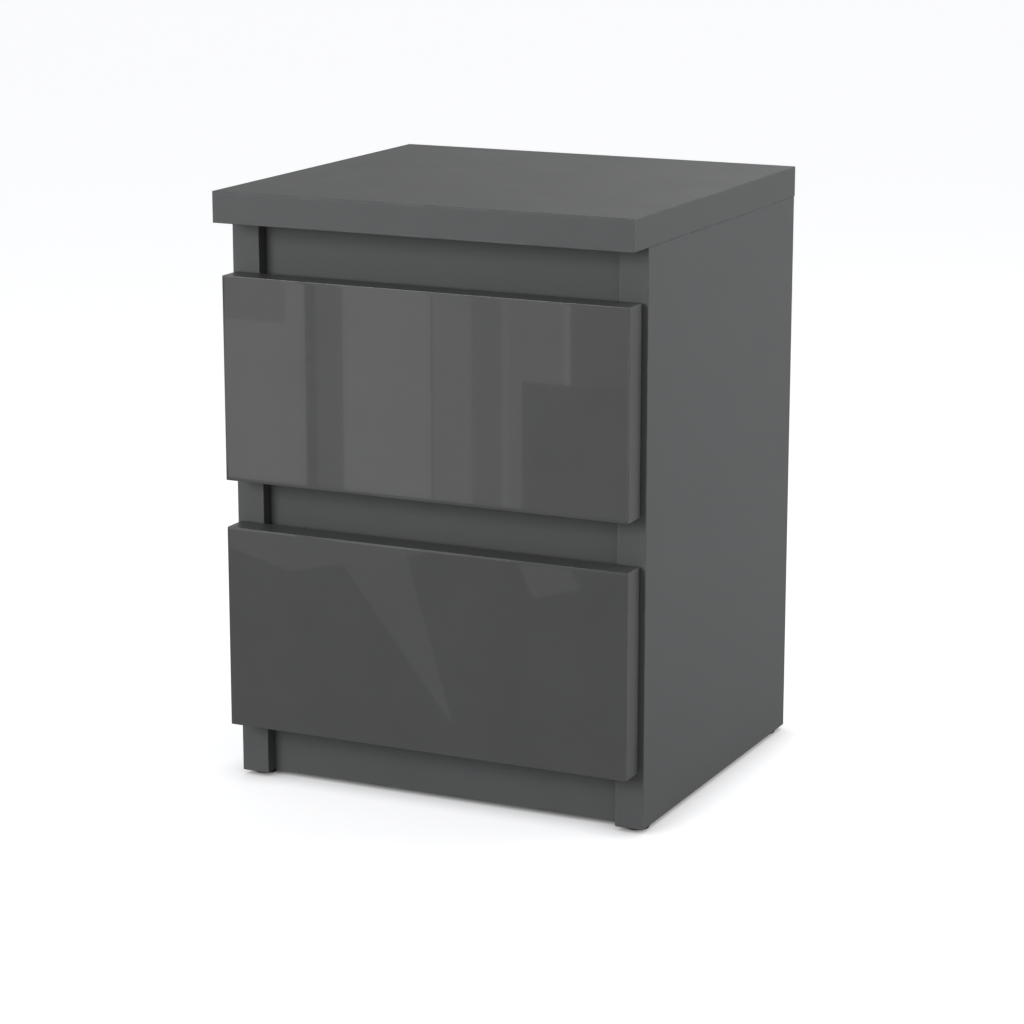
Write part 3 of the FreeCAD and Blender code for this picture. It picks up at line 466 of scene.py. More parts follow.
# %% [markdown]
# ## Reading the frame
#
# Fittings that repeat share one CAD node, so a node's own box isn't enough. The node's mesh is split
# into its separate solids, and each solid gives one fitting's place. Labels spread along edges until
# nothing changes, a whole array at a time.


# %% Separate solids of a node
TOUCH = 0.01 * MM


def read(items, key, width=3, kind=float):
    """One property of a mesh's points, edges or faces, as an array with a row for each."""
    values = np.empty(len(items) * width, kind)
    items.foreach_get(key, values)
    return values.reshape(-1, width)


def solids(node):
    """Each separate solid of a CAD node: its lowest corner, highest corner and shell, by place."""
    source = bmesh.new()
    source.from_mesh(frame["nodes"][node].data)
    bmesh.ops.remove_doubles(source, verts=source.verts, dist=1e-6)
    mesh = bpy.data.meshes.new("solids")
    source.to_mesh(mesh)
    source.free()
    mesh.calc_loop_triangles()
    points = read(mesh.vertices, "co")
    triangles = read(mesh.loop_triangles, "vertices", 3, int)
    a, b = read(mesh.edges, "vertices", 2, int).T
    bpy.data.meshes.remove(mesh)
    label = np.arange(len(points))
    while True:
        lowest = np.minimum(label[a], label[b])
        spread = label.copy()
        np.minimum.at(spread, a, lowest)
        np.minimum.at(spread, b, lowest)
        spread = spread[spread]
        if np.array_equal(spread, label):
            break
        label = spread
    found = []
    for k in np.unique(label):
        own = label == k
        faces = (np.cumsum(own) - 1)[triangles[own[triangles[:, 0]]]]
        found.append((points[own].min(axis=0), points[own].max(axis=0), (points[own], faces, [])))
    return sorted(found, key=lambda solid: tuple(np.round((solid[0] + solid[1]) * 500)))


def reaching(node, low, high):
    """The shells of a node's solids whose boxes overlap the box from low to high."""
    low, high = low + TOUCH, high - TOUCH
    return [shell for start, end, shell in solids(node) if np.all(start < high) and np.all(end > low)]


print(len(solids("cam_locks")), "carcass cams found")

# %% [markdown]
# ## Shader groups
#
# An effect that several finishes share is a node group with named inputs and outputs. Small helpers
# keep the wiring readable: they add a node with its inputs set or linked by name, and name the few
# nodes that come back again and again.


# %% Node helpers
def plug(tree, source, socket):
    """Links a socket to a source that is a socket too, or sets it to a plain value."""
    if isinstance(source, bpy.types.NodeSocket):
        tree.links.new(source, socket)
    else:
        socket.default_value = source


def add(tree, kind, settings=None, **values):
    """Adds a node, sets its properties, and plugs its inputs.

    An input goes by its name, with underscores for spaces, or by its number as i0, i1 and so on.
    """
    node = tree.nodes.new(kind)
    for key, setting in (settings or {}).items():
        setattr(node, key, setting)
    for key, source in values.items():
        socket = int(key[1:]) if key[1:].isdigit() else key.replace("_", " ")
        plug(tree, source, node.inputs[socket])
    return node


def maths(tree, operation, first, second=0.0):
    """What one Math node puts out."""
    return add(tree, "ShaderNodeMath", {"operation": operation}, i0=first, i1=second).outputs[0]


def product(tree, first, *others):
    """The product of all the factors."""
    for other in others:
        first = maths(tree, "MULTIPLY", first, other)
    return first


def mix(tree, factor, first, second):
    """The colour that goes from first to second as the factor goes from 0 to 1."""
    return add(tree, "ShaderNodeMix", {"data_type": "RGBA"}, i0=factor, i6=first, i7=second).outputs[2]


def remap(tree, source, low, high, new_low=0.0, new_high=1.0):
    """Carries low to new_low and high to new_high, and holds the rest between them."""
    return add(
        tree, "ShaderNodeMapRange", {"clamp": True}, i0=source, i1=low, i2=high, i3=new_low, i4=new_high
    ).outputs[0]


def noise(tree, vector, scale, detail, roughness=0.5):
    """Soft noise from 0 to 1, with `scale` waves to the metre."""
    return add(
        tree, "ShaderNodeTexNoise", Vector=vector, Scale=scale, Detail=detail, Roughness=roughness
    ).outputs["Fac"]


def stretched(tree, vector, scale, rotation=(0.0, 0.0, 0.0)):
    """Coordinates scaled, then turned; a small scale draws a pattern out along its axis."""
    return add(tree, "ShaderNodeMapping", Vector=vector, Rotation=rotation, Scale=scale).outputs[0]


def new_group(name, numbers, outputs):
    """A shader group, what it is given and what it puts out.

    It has a Vector input, the numbers with their defaults, and one number for each output's name.
    """
    group = bpy.data.node_groups.new(name, "ShaderNodeTree")
    group.interface.new_socket("Vector", in_out="INPUT", socket_type="NodeSocketVector")
    for socket_name, default in numbers.items():
        socket = group.interface.new_socket(socket_name, in_out="INPUT", socket_type="NodeSocketFloat")
        socket.default_value = default
    for socket_name in outputs:
        group.interface.new_socket(socket_name, in_out="OUTPUT", socket_type="NodeSocketFloat")
    given = group.nodes.new("NodeGroupInput").outputs
    result = group.nodes.new("NodeGroupOutput").inputs
    return group, given, result


# %% [markdown]
# ### Pearl texture of pressed melamine
#
# The plates that press the paper on a board leave a fine pebbled skin, about half a millimetre from
# bump to bump. Two sizes of noise make it, and slow cloudiness shifts the tone by a percent or two,
# as on any printed paper.

# %% Pearl group
pearl, given, result = new_group("pearl texture", {"Size": 0.0005, "Depth": 0.00001}, ("Height", "Cloud"))
scale = maths(pearl, "DIVIDE", 1.0, given["Size"])
fine = noise(pearl, given["Vector"], scale, 3.0, 0.6)
coarse = noise(pearl, given["Vector"], maths(pearl, "DIVIDE", scale, 5.0), 2.0)
skin = maths(pearl, "ADD", fine, product(pearl, coarse, 1.6))
plug(pearl, product(pearl, skin, given["Depth"]), result["Height"])
plug(pearl, noise(pearl, given["Vector"], 22.0, 5.0), result["Cloud"])
print(pearl.name, "has", len(pearl.nodes), "nodes")

# %% [markdown]
# ### Edge wear
#
# Handled corners of board furniture go slightly pale and smooth. Each board's mesh carries an
# attribute named near_edge, worked out from the distance to its nearest edge. The group breaks it up
# with noise, so that the wear comes and goes along an edge.

# %% Edge wear group
edge_wear, given, result = new_group("edge wear", {"Near edge": 0.0, "Amount": 0.5}, ("Mask",))
patches = remap(edge_wear, noise(edge_wear, given["Vector"], 60.0, 6.0), 0.42, 0.68)
plug(edge_wear, product(edge_wear, patches, given["Near edge"], given["Amount"]), result["Mask"])
print(edge_wear.name, "has", len(edge_wear.nodes), "nodes")

# %% [markdown]
# ### Dust
#
# A little dust settles on what faces up. The mask is the upward part of the surface's normal, raised
# to a power so that only nearly level faces take it, times two sizes of noise.

# %% Dust group
dust, given, result = new_group("dust", {"Amount": 0.1}, ("Mask",))
facing = add(dust, "ShaderNodeSeparateXYZ", i0=add(dust, "ShaderNodeNewGeometry").outputs["Normal"])
upward = maths(dust, "POWER", maths(dust, "MAXIMUM", facing.outputs["Z"], 0.0), 6.0)
specks = remap(dust, noise(dust, given["Vector"], 900.0, 2.0), 0.5, 0.75)
drift = remap(dust, noise(dust, given["Vector"], 9.0, 4.0), 0.35, 0.7)
plug(dust, product(dust, specks, upward, drift, given["Amount"]), result["Mask"])
print(dust.name, "has", len(dust.nodes), "nodes")

# %% [markdown]
# ### Smudges
#
# A gloss surface is told apart from a mirror by what is on it: faint wiping marks and fingertip
# smears that raise its roughness. Stretched noise gives the wiping marks.

# %% Smudge group
smudge, given, result = new_group("smudges", {"Clean": 0.03, "Smeared": 0.12}, ("Roughness",))
wiping = stretched(smudge, given["Vector"], (1.0, 1.0, 7.0), (0.0, 0.6, 0.0))
wiped = remap(smudge, noise(smudge, wiping, 14.0, 8.0, 0.65), 0.45, 0.75)
spots = remap(smudge, noise(smudge, given["Vector"], 26.0, 3.0), 0.45, 0.7)
span = maths(smudge, "SUBTRACT", given["Smeared"], given["Clean"])
plug(smudge, maths(smudge, "ADD", product(smudge, wiped, spots, span), given["Clean"]), result["Roughness"])
print(smudge.name, "has", len(smudge.nodes), "nodes")

# %% [markdown]
# ## Materials
#
# Each finish is one Principled shader whose colour, roughness and bump come from the groups. Patterns
# read Object coordinates, which are metres in the nightstand's frame, because each piece's object
# sits at the origin.

# %% Material helpers
CLOUD_SPAN = (0.3, 0.7)
HOUSE_DUST = (0.5, 0.49, 0.47, 1)
PALE_DUST = (0.42, 0.4, 0.37, 1)
LINEN_DUST = (0.5, 0.48, 0.45, 1)


def new_material(name):
    """A material with its tree, its Principled shader's inputs and the object's coordinates."""
    material = bpy.data.materials.new(name)
    material.use_nodes = True
    tree = material.node_tree
    place = add(tree, "ShaderNodeTexCoord").outputs["Object"]
    return material, tree, tree.nodes["Principled BSDF"].inputs, place


def use(tree, group, **values):
    """Places a shader group, plugs its inputs, and gives its outputs."""
    return add(tree, "ShaderNodeGroup", {"node_tree": group}, **values).outputs


def feed(tree, shader, tone, roughness, height):
    """Plugs a colour, a roughness and a bump of a height in metres into the shader."""
    plug(tree, tone, shader["Base Color"])
    plug(tree, roughness, shader["Roughness"])
    bump = add(tree, "ShaderNodeBump", Strength=1.0, Distance=1.0, Height=height)
    plug(tree, bump.outputs["Normal"], shader["Normal"])


def clouded(tree, texture, dark, pale):
    """A tone between dark and pale, as the pearl texture's cloud goes."""
    return mix(tree, remap(tree, texture["Cloud"], *CLOUD_SPAN), dark, pale)


def clouded_roughness(tree, texture, low, high):
    """A roughness between low and high, as the pearl texture's cloud goes."""
    return remap(tree, texture["Cloud"], *CLOUD_SPAN, low, high)


def worn_edges(tree, place, tone, worn, amount):
    """The tone, with the worn colour where the edge wear group says."""
    near_edge = add(tree, "ShaderNodeAttribute", {"attribute_name": "near_edge"}).outputs["Fac"]
    wear = use(tree, edge_wear, Vector=place, Near_edge=near_edge, Amount=amount)
    return mix(tree, wear["Mask"], tone, worn)


def dusted(tree, place, tone, amount, colour=HOUSE_DUST):
    """The tone, with dust where it would settle."""
    return mix(tree, use(tree, dust, Vector=place, Amount=amount)["Mask"], tone, colour)


# %% [markdown]
# ### Matt and satin graphite
#
# The carcass is faced with matt graphite paper. The gloss fronts' edges and backs are only satin, as
# on lacquered board, so both come from one function: cloud between two tones, worn edges, dust and
# the pearl bump.


# %% Matt graphite and satin edge
def board_finish(name, dark, pale, worn, roughness, depth, dust_amount, specular):
    """A pressed-paper finish: cloud between two tones, worn edges, dust, pearl bump."""
    material, tree, shader, place = new_material(name)
    texture = use(tree, pearl, Vector=place, Size=0.0006, Depth=depth)
    tone = worn_edges(tree, place, clouded(tree, texture, dark, pale), worn, 0.55)
    tone = dusted(tree, place, tone, dust_amount)
    rough = clouded_roughness(tree, texture, roughness - 0.03, roughness + 0.03)
    feed(tree, shader, tone, rough, texture["Height"])
    shader["Specular IOR Level"].default_value = specular
    return material


graphite = board_finish(
    "matt graphite",
    dark=(0.083, 0.085, 0.086, 1),
    pale=(0.089, 0.091, 0.092, 1),
    worn=(0.14, 0.142, 0.144, 1),
    roughness=0.58,
    depth=0.000006,
    dust_amount=0.1,
    specular=0.22,
)
satin = board_finish(
    "satin graphite edge",
    dark=(0.062, 0.063, 0.064, 1),
    pale=(0.068, 0.069, 0.07, 1),
    worn=(0.085, 0.087, 0.088, 1),
    roughness=0.36,
    depth=0.000003,
    dust_amount=0.12,
    specular=0.35,
)
print(graphite.name, "has", len(graphite.node_tree.nodes), "nodes")

# %% [markdown]
# ### High-gloss graphite
#
# The fronts are lacquered to a mirror finish. A clear coat lies over a dark base: the coat gives the
# sharp reflections, and faint smears and the slow waviness of a sprayed surface keep it from looking
# like glass.

# %% High-gloss graphite
gloss, tree, shader, place = new_material("gloss graphite")
wave = use(tree, pearl, Vector=place, Size=0.004, Depth=0.0000012)
tone = clouded(tree, wave, (0.048, 0.049, 0.05, 1), (0.053, 0.054, 0.055, 1))
smears = use(tree, smudge, Vector=place, Clean=0.04, Smeared=0.16)
feed(tree, shader, dusted(tree, place, tone, 0.08), smears["Roughness"], wave["Height"])
shader["Coat Weight"].default_value = 1.0
shader["Coat Roughness"].default_value = 0.015
shader["Coat IOR"].default_value = 1.5
print(gloss.name, "has", len(tree.nodes), "nodes")

# %% [markdown]
# ### Linen print
#
# The drawer boxes are faced with pale grey paper printed like linen. Two noises, each stretched along
# one direction, make the warp and the weft. All three axes take part, so that the print runs on every
# upright face of a board.

# %% Linen group and drawer board
linen, given, result = new_group("linen print", {"Thread": 0.0006}, ("Tone", "Height"))
fineness = maths(linen, "DIVIDE", 1.0, given["Thread"])
threads = []
for stretch in ((1.0, 1.0, 0.04), (0.04, 0.04, 1.0)):
    streak = noise(linen, stretched(linen, given["Vector"], stretch), fineness, 2.0)
    threads.append(remap(linen, streak, 0.35, 0.65))
woven = product(linen, maths(linen, "ADD", *threads), 0.5)
plug(linen, woven, result["Tone"])
plug(linen, product(linen, woven, 0.00001), result["Height"])


def linen_finish(name, dark, pale, roughness, lying=False):
    """Pale paper with the linen print, worn edges and dust.

    The print's threads run along Z and across it, so a lying sheet's pattern is turned a quarter
    about X, which makes its threads run along Y and across it.
    """
    material, tree, shader, place = new_material(name)
    quarter = (math.pi / 2, 0.0, 0.0)
    pattern = stretched(tree, place, (1.0, 1.0, 1.0), quarter) if lying else place
    weave = use(tree, linen, Vector=pattern, Thread=0.0007)
    tone = mix(tree, weave["Tone"], dark, pale)
    tone = worn_edges(tree, place, tone, (0.6, 0.59, 0.57, 1), 0.4)
    feed(tree, shader, dusted(tree, place, tone, 0.15, LINEN_DUST), roughness, weave["Height"])
    return material


drawer_grey = linen_finish("linen drawer board", (0.35, 0.355, 0.355, 1), (0.45, 0.455, 0.45, 1), 0.5)
sheet_grey = linen_finish(
    "linen drawer bottom", (0.34, 0.345, 0.345, 1), (0.43, 0.435, 0.43, 1), 0.45, lying=True
)
print("groups:", sorted(group.name for group in bpy.data.node_groups))

# %% [markdown]
# ### Chipboard
#
# Where a board is cut, its core of pressed chips shows: flat flakes from straw to brown, with dark
# gaps. Cells of a Voronoi pattern, pressed flatter than they are wide, give each flake a tone of its
# own, and the distance to a cell's edge gives the gaps.

# %% Chipboard core
CHIPS_TO_THE_METRE = 620.0
core, tree, shader, place = new_material("chipboard core")
flat = stretched(tree, place, (1.0, 1.0, 0.55))
cells = {"Vector": flat, "Scale": CHIPS_TO_THE_METRE}
chips = add(tree, "ShaderNodeTexVoronoi", **cells)
grey = add(tree, "ShaderNodeSeparateColor", i0=chips.outputs["Color"])
chip_tone = add(tree, "ShaderNodeValToRGB", i0=grey.outputs[0])
ramp = chip_tone.color_ramp
ramp.elements[0].color = (0.16, 0.095, 0.045, 1)
ramp.elements[1].color = (0.52, 0.37, 0.21, 1)
ramp.elements.new(0.45).color = (0.36, 0.235, 0.125, 1)
gaps = add(tree, "ShaderNodeTexVoronoi", {"feature": "DISTANCE_TO_EDGE"}, **cells)
open_gap = remap(tree, gaps.outputs["Distance"], 0.0, 0.12)
tone = mix(tree, open_gap, (0.09, 0.055, 0.03, 1), chip_tone.outputs[0])
feed(tree, shader, tone, 0.85, product(tree, open_gap, 0.00012))
print(core.name, "has", len(tree.nodes), "nodes")

# %% [markdown]
# ### Hardboard
#
# The back is hardboard: its smooth side carries graphite paper, and its outer side keeps the print of
# the wire mesh that it was pressed on. The product of two sine waves, one across and one up, is that
# mesh, over a fibrous mottle.

# %% Hardboard with its mesh print
MESH_PITCH = 0.0016
hardboard, tree, shader, place = new_material("hardboard")
blotch = product(tree, noise(tree, place, 18.0, 3.0), 0.6)
mottle = maths(tree, "ADD", noise(tree, place, 260.0, 8.0, 0.75), blotch)
tone = mix(tree, remap(tree, mottle, 0.5, 1.1), (0.125, 0.072, 0.036, 1), (0.235, 0.15, 0.085, 1))
split = add(tree, "ShaderNodeSeparateXYZ", i0=place)
wires = []
for axis in ("X", "Z"):
    turn = product(tree, split.outputs[axis], 2 * math.pi / MESH_PITCH)
    wires.append(maths(tree, "ABSOLUTE", maths(tree, "SINE", turn)))
mesh_print = product(tree, *wires)
tone = mix(tree, product(tree, mesh_print, 0.35), tone, (0.07, 0.04, 0.02, 1))
feed(tree, shader, tone, 0.72, product(tree, mesh_print, 0.00008))
print(hardboard.name, "has", len(tree.nodes), "nodes")

# %% [markdown]
# ### Metals, nylon, rubber and beech
#
# The runners are steel with a baked epoxy coat, which has a fine orange peel. Screws, pins and nails
# are zinc plated, and cams are cast. The rollers are natural nylon. Dowels are beech, whose fine
# dark flecks run along the grain.


# %% Fittings' materials
def metal_finish(name, dark, pale, roughness, grain):
    """A metal that clouds between two tones, with a fine grain in its roughness and bump."""
    material, tree, shader, place = new_material(name)
    texture = use(tree, pearl, Vector=place, Size=grain, Depth=grain * 0.02)
    rough = clouded_roughness(tree, texture, roughness - 0.06, roughness + 0.08)
    feed(tree, shader, clouded(tree, texture, dark, pale), rough, texture["Height"])
    shader["Metallic"].default_value = 1.0
    return material


def moulded_finish(name, dark, pale, roughness, grain, constants=None):
    """A plastic, rubber or baked coat: cloud between two tones, dust, orange peel."""
    material, tree, shader, place = new_material(name)
    texture = use(tree, pearl, Vector=place, Size=grain, Depth=grain * 0.008)
    tone = dusted(tree, place, clouded(tree, texture, dark, pale), 0.2, PALE_DUST)
    rough = clouded_roughness(tree, texture, roughness - 0.05, roughness + 0.05)
    feed(tree, shader, tone, rough, texture["Height"])
    for name_of_input, number in (constants or {}).items():
        shader[name_of_input].default_value = number
    return material


zinc = metal_finish("bright zinc", (0.5, 0.5, 0.49, 1), (0.68, 0.69, 0.7, 1), 0.28, 0.0004)
cast = metal_finish("cast zinc", (0.32, 0.32, 0.32, 1), (0.45, 0.45, 0.46, 1), 0.46, 0.0003)
coated = moulded_finish("baked white coat", (0.66, 0.66, 0.64, 1), (0.72, 0.72, 0.7, 1), 0.36, 0.0007)
nylon = moulded_finish(
    "natural nylon", (0.7, 0.69, 0.64, 1), (0.77, 0.76, 0.72, 1), 0.38, 0.0006,
    {"Subsurface Weight": 0.15, "Subsurface Scale": 0.002},
)
black = moulded_finish(
    "black plastic", (0.002, 0.002, 0.002, 1), (0.005, 0.005, 0.005, 1), 0.6, 0.0004,
    {"Specular IOR Level": 0.05},
)
rubber = moulded_finish("soft pad", (0.52, 0.52, 0.5, 1), (0.6, 0.6, 0.58, 1), 0.3, 0.0008)

beech, tree, shader, place = new_material("beech")
flecks = noise(tree, stretched(tree, place, (1.0, 1.0, 0.15)), 1500.0, 4.0)
tone = mix(tree, remap(tree, flecks, 0.4, 0.65), (0.42, 0.27, 0.15, 1), (0.62, 0.44, 0.27, 1))
feed(tree, shader, tone, 0.6, product(tree, flecks, 0.00003))
print(len(bpy.data.materials), "materials")

# %% [markdown]
# ## Boards
#
# Every board is made the same way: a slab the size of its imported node, cut by what passes through it.
# Faces inside the slab's box are cuts, so they show chipboard. Some outer edges are left raw on real
# flat-pack furniture, where they face the wall or the floor, and a rule picks those faces out.

# %% Board maker
CUT_DEPTH = 0.2 * MM


def mark_near_edge(mesh, low, high):
    """1 on an edge of the board, falling to 0 at the wear's reach.

    A point's distances to the three pairs of faces are sorted. On a face the smallest is nothing, so
    the second smallest is the distance to the nearest edge.
    """
    points = read(mesh.vertices, "co")
    reach = np.sort(np.minimum(points - low, high - points), axis=1)[:, 1]
    layer = mesh.attributes.new("near_edge", "FLOAT", "POINT")
    layer.data.foreach_set("value", np.clip(1 - reach / WEAR_REACH, 0, 1))


def mark_core(mesh, low, high, rule):
    """Gives the second material to cut faces, and to those the rule picks by centre and normal."""
    centres, normals = read(mesh.polygons, "center"), read(mesh.polygons, "normal")
    raw = np.all((centres > low + CUT_DEPTH) & (centres < high - CUT_DEPTH), axis=1)
    if rule:
        raw |= rule(centres, normals)
    mesh.polygons.foreach_set("material_index", raw.astype(np.int32))


def board(node, axis, finish, cutters=(), through=(), rule=None, second=core, **edge):
    """A finished board in a node's place, its broad faces across the axis.

    Cutters are shells, through names the nodes whose solids pass into the board, and the rule picks
    the faces that take the second finish.
    """
    low, high = corners_of(node)
    piece = new_piece("finished_" + node, [slab(low, high, axis, **edge)])
    shells = list(cutters)
    for fastener in through:
        shells += reaching(fastener, low, high)
    if shells:
        combine(piece, shells)
    mark_near_edge(piece.data, low, high)
    mark_core(piece.data, low, high, rule)
    finish_piece(piece, node, finish, second)


# %% [markdown]
# ## Cams and their pockets
#
# A cam is a die-cast drum that a screwdriver turns half round to pull a bolt tight. It sits flush in a
# bored pocket with a hair of clearance, so the ring round it reads dark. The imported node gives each
# drum's place; its shortest side is its axis.

# %% Cams
CAM_PLAY = 0.12 * MM
CAM_LIP = 0.35 * MM
CAM_PLUS = plus_outline(8 * MM, 1.7 * MM)
CAM_PLUS_DEPTH = 2.2 * MM
POCKET_DEEPER = 0.3 * MM


def cam_places(node, outward_factor):
    """Each cam's bottom centre, axis, direction of its face, radius and depth.

    The factor is 1 where the faces look away from the middle plane and -1 where they look to it.
    """
    places = []
    for low, high, _ in solids(node):
        size = high - low
        axis = int(np.argmin(size))
        centre = (low + high) / 2
        direction = outward_factor * np.sign(centre[axis])
        bottom = centre - unit(axis, direction) * size[axis] / 2
        places.append((bottom, axis, direction, np.delete(size, axis).min() / 2, size[axis]))
    return places


def cam_pockets(node, outward_factor):
    """Round cutters a little deeper than the cams, and standing proud of the face."""
    return [
        turned(rod(radius, -POCKET_DEEPER, depth + MM), bottom, unit(axis, direction))
        for bottom, axis, direction, radius, depth in cam_places(node, outward_factor)
    ]


def cams(node, outward_factor):
    """Drums with a chamfered lip and a tapered plus recess."""
    drums, recesses = [], []
    for bottom, axis, direction, radius, depth in cam_places(node, outward_factor):
        inner = radius - CAM_PLAY
        profile = [(0, 0), (0, inner), (depth - CAM_LIP, inner), (depth, inner - CAM_LIP), (depth, 0)]
        drums.append(turned(profile, bottom, unit(axis, direction)))
        face = bottom + unit(axis, direction) * depth
        taper = [(-direction * CAM_PLUS_DEPTH, 0.7), (direction * CAM_PLUS_DEPTH, 1.3)]
        recesses.append(prism(CAM_PLUS, face, axis, taper))
    finish_piece(combine(new_piece("cast_" + node, drums), recesses), node, cast)


INWARD, OUTWARD = -1, 1
carcass_pockets = cam_pockets("cam_locks", INWARD)
cams("cam_locks", INWARD)

# %% [markdown]
# ## The carcass boards
#
# The top oversails the carcass at the front. The sides stand on glides and carry the rebate that the
# back lies in. Rails, bottom and plinth lie between them.

# %% Carcass
HIDDEN = ("cam_bolts", "wood_dowels")
NAILED = HIDDEN + ("back_panel_nails",)
RUNNER_FASTENERS = ("cabinet_roller_pins", "cabinet_channel_screws")
SIDES = (("left", -1), ("right", 1))
FACING = 0.9
NEAR_FLOOR = 5 * MM
REBATE_PLAY = 0.5 * MM
OVERRUN = 2 * MM
GLIDE_PIN = 1.5 * MM
GLIDE_PIN_HOLE = rod(1.55 * MM, 0, 12 * MM)


def pockets_in(node, pockets):
    """The cutters whose boxes reach into a node's box."""
    low, high = corners_of(node)
    return [
        shell
        for shell in pockets
        if np.all(shell[0].min(axis=0) < high) and np.all(shell[0].max(axis=0) > low)
    ]


def rear_edge(centres, normals):
    """Faces that look backwards, which stand against the wall."""
    return normals[:, 1] > FACING


def rear_and_foot(centres, normals):
    """Faces that look backwards or down to the floor."""
    down = (normals[:, 2] < -FACING) & (centres[:, 2] < NEAR_FLOOR)
    return rear_edge(centres, normals) | down


board("top_panel", 2, graphite, through=HIDDEN)
for node in ("plinth_rail", "middle_rail", "upper_rail", "rear_rail"):
    board(node, 1, graphite, pockets_in(node, carcass_pockets), HIDDEN)
board("bottom_panel", 2, graphite, pockets_in("bottom_panel", carcass_pockets), NAILED, rear_edge)

back_low, back_high = corners_of("back_panel")
for side, sign in SIDES:
    node = side + "_side_panel"
    low, high = corners_of(node)
    inner = high[0] if sign < 0 else low[0]
    rebate_x = sorted((sign * (back_high[0] + REBATE_PLAY), inner - sign * OVERRUN))
    cutters = pockets_in(node, carcass_pockets)
    cutters.append(block(
        (rebate_x[0], back_low[1], back_low[2]),
        (rebate_x[1], high[1] + OVERRUN, high[2] + OVERRUN),
    ))
    for end in ("front", "rear"):
        x, y, _ = np.mean(corners_of(f"{end}_{side}_glide"), axis=0)
        cutters.append(turned(GLIDE_PIN_HOLE, (x, y, GLIDE_PIN), unit(2), 16))
    board(node, 0, graphite, cutters, NAILED + RUNNER_FASTENERS, rear_and_foot)

# %% [markdown]
# ## Back panel and its nails
#
# The back is 3 mm hardboard, nailed into the rebate. Its outer face is the brown mesh side. Each
# nail's head lies flush in a dent, and a nail is turned from point to head like any pin.

# %% Back and nails
NAIL_SHANK = 0.7 * MM
NAIL_HEAD = 2.1 * MM
NAIL_HEAD_THICK = 0.5 * MM
THIN_EDGE = {"round_radius": 0.25 * MM, "corner": 0.4 * MM, "seam": 0}
nails, dents = [], []
for low, high, _ in solids("back_panel_nails"):
    middle, length = (low + high) / 2, high[1] - low[1]
    tip = (middle[0], low[1], middle[2])
    seat = length - NAIL_HEAD_THICK
    nail = [
        (0, 0), (2 * MM, NAIL_SHANK), (seat - 0.4 * MM, NAIL_SHANK), (seat, NAIL_HEAD * 0.8),
        (seat + 0.2 * MM, NAIL_HEAD), (length - 0.15 * MM, NAIL_HEAD), (length, NAIL_HEAD * 0.85),
        (length, 0),
    ]
    nails.append(turned(nail, tip, unit(1), 20))
    dent = [
        (0, 0), (0, NAIL_SHANK), (seat - 0.5 * MM, NAIL_SHANK), (seat - 0.1 * MM, NAIL_HEAD + 0.2 * MM),
        (length + MM, NAIL_HEAD + 0.3 * MM), (length + MM, 0),
    ]
    dents.append(turned(dent, tip, unit(1), 20))
finish_piece(new_piece("driven_nails", nails), "back_panel_nails", zinc)
board("back_panel", 1, graphite, dents, rule=rear_edge, second=hardboard, **THIN_EDGE)

# %% [markdown]
# ## Drawers
#
# A drawer is a gloss front with a box of four boards behind it and a thin bottom in grooves. The
# grooves are cut a hair wider than the sheet, so a fine shadow runs all round the drawer's floor.

# %% Drawer boards
GROOVE_PLAY = np.array((0.4, 0.4, 0.12)) * MM
FRONT_EDGE = {"round_radius": 0.35 * MM, "corner": 0.4 * MM, "seam": 0}
SHEET_EDGE = {"round_radius": 0.2 * MM, "corner": 0.4 * MM, "seam": 0}
LACQUERED = -0.98


def front_edges(centres, normals):
    """Faces of a front that look up, down, sideways or back, which aren't lacquered."""
    return normals[:, 1] > LACQUERED


for height in ("upper", "lower"):
    prefix = height + "_drawer_"
    hidden = (prefix + "cam_bolts", prefix + "dowels")
    pockets = cam_pockets(prefix + "cam_locks", OUTWARD)
    cams(prefix + "cam_locks", OUTWARD)
    sheet_low, sheet_high = corners_of(prefix + "bottom")
    groove = block(sheet_low - GROOVE_PLAY, sheet_high + GROOVE_PLAY)
    board(prefix + "front", 1, gloss, [groove], hidden, front_edges, satin, **FRONT_EDGE)
    for side in ("left_side", "right_side"):
        node = prefix + side
        through = hidden + (prefix + "back_screws", prefix + "member_screws")
        board(node, 0, drawer_grey, pockets_in(node, pockets) + [groove], through)
    board(prefix + "back", 1, drawer_grey, [groove], (prefix + "back_screws",))
    board(prefix + "bottom", 2, sheet_grey, **SHEET_EDGE)

# %% [markdown]
# ## Screws
#
# All screws here have low round heads with a plus recess. The shank hides in the board, so it stays
# a plain pointed pin; the head is a dome of three rows with a flat rim under it.


# %% Screws
def screws(node, facing, head_thick, head_radius, shank_radius):
    """Screws along X whose heads look outward, away from the middle plane, or inward."""
    pins, recesses = [], []
    outline = plus_outline(head_radius * 1.1, head_radius * 0.28)
    for low, high, _ in solids(node):
        middle, length = (low + high) / 2, high[0] - low[0]
        direction = facing * np.sign(middle[0])
        tip = middle - unit(0, direction) * length / 2
        seat = length - head_thick
        profile = [
            (0, 0), (3 * MM, shank_radius), (seat, shank_radius), (seat, head_radius),
            (seat + head_thick * 0.35, head_radius), (seat + head_thick * 0.75, head_radius * 0.86),
            (length, head_radius * 0.6), (length, 0),
        ]
        pins.append(turned(profile, tip, unit(0, direction), 28))
        face = tip + unit(0, direction) * length
        depth = head_thick * 0.7
        recesses.append(prism(outline, face, 0, [(-direction * depth, 0.6), (direction * depth, 1.4)]))
    finish_piece(combine(new_piece("turned_" + node, pins), recesses), node, zinc)


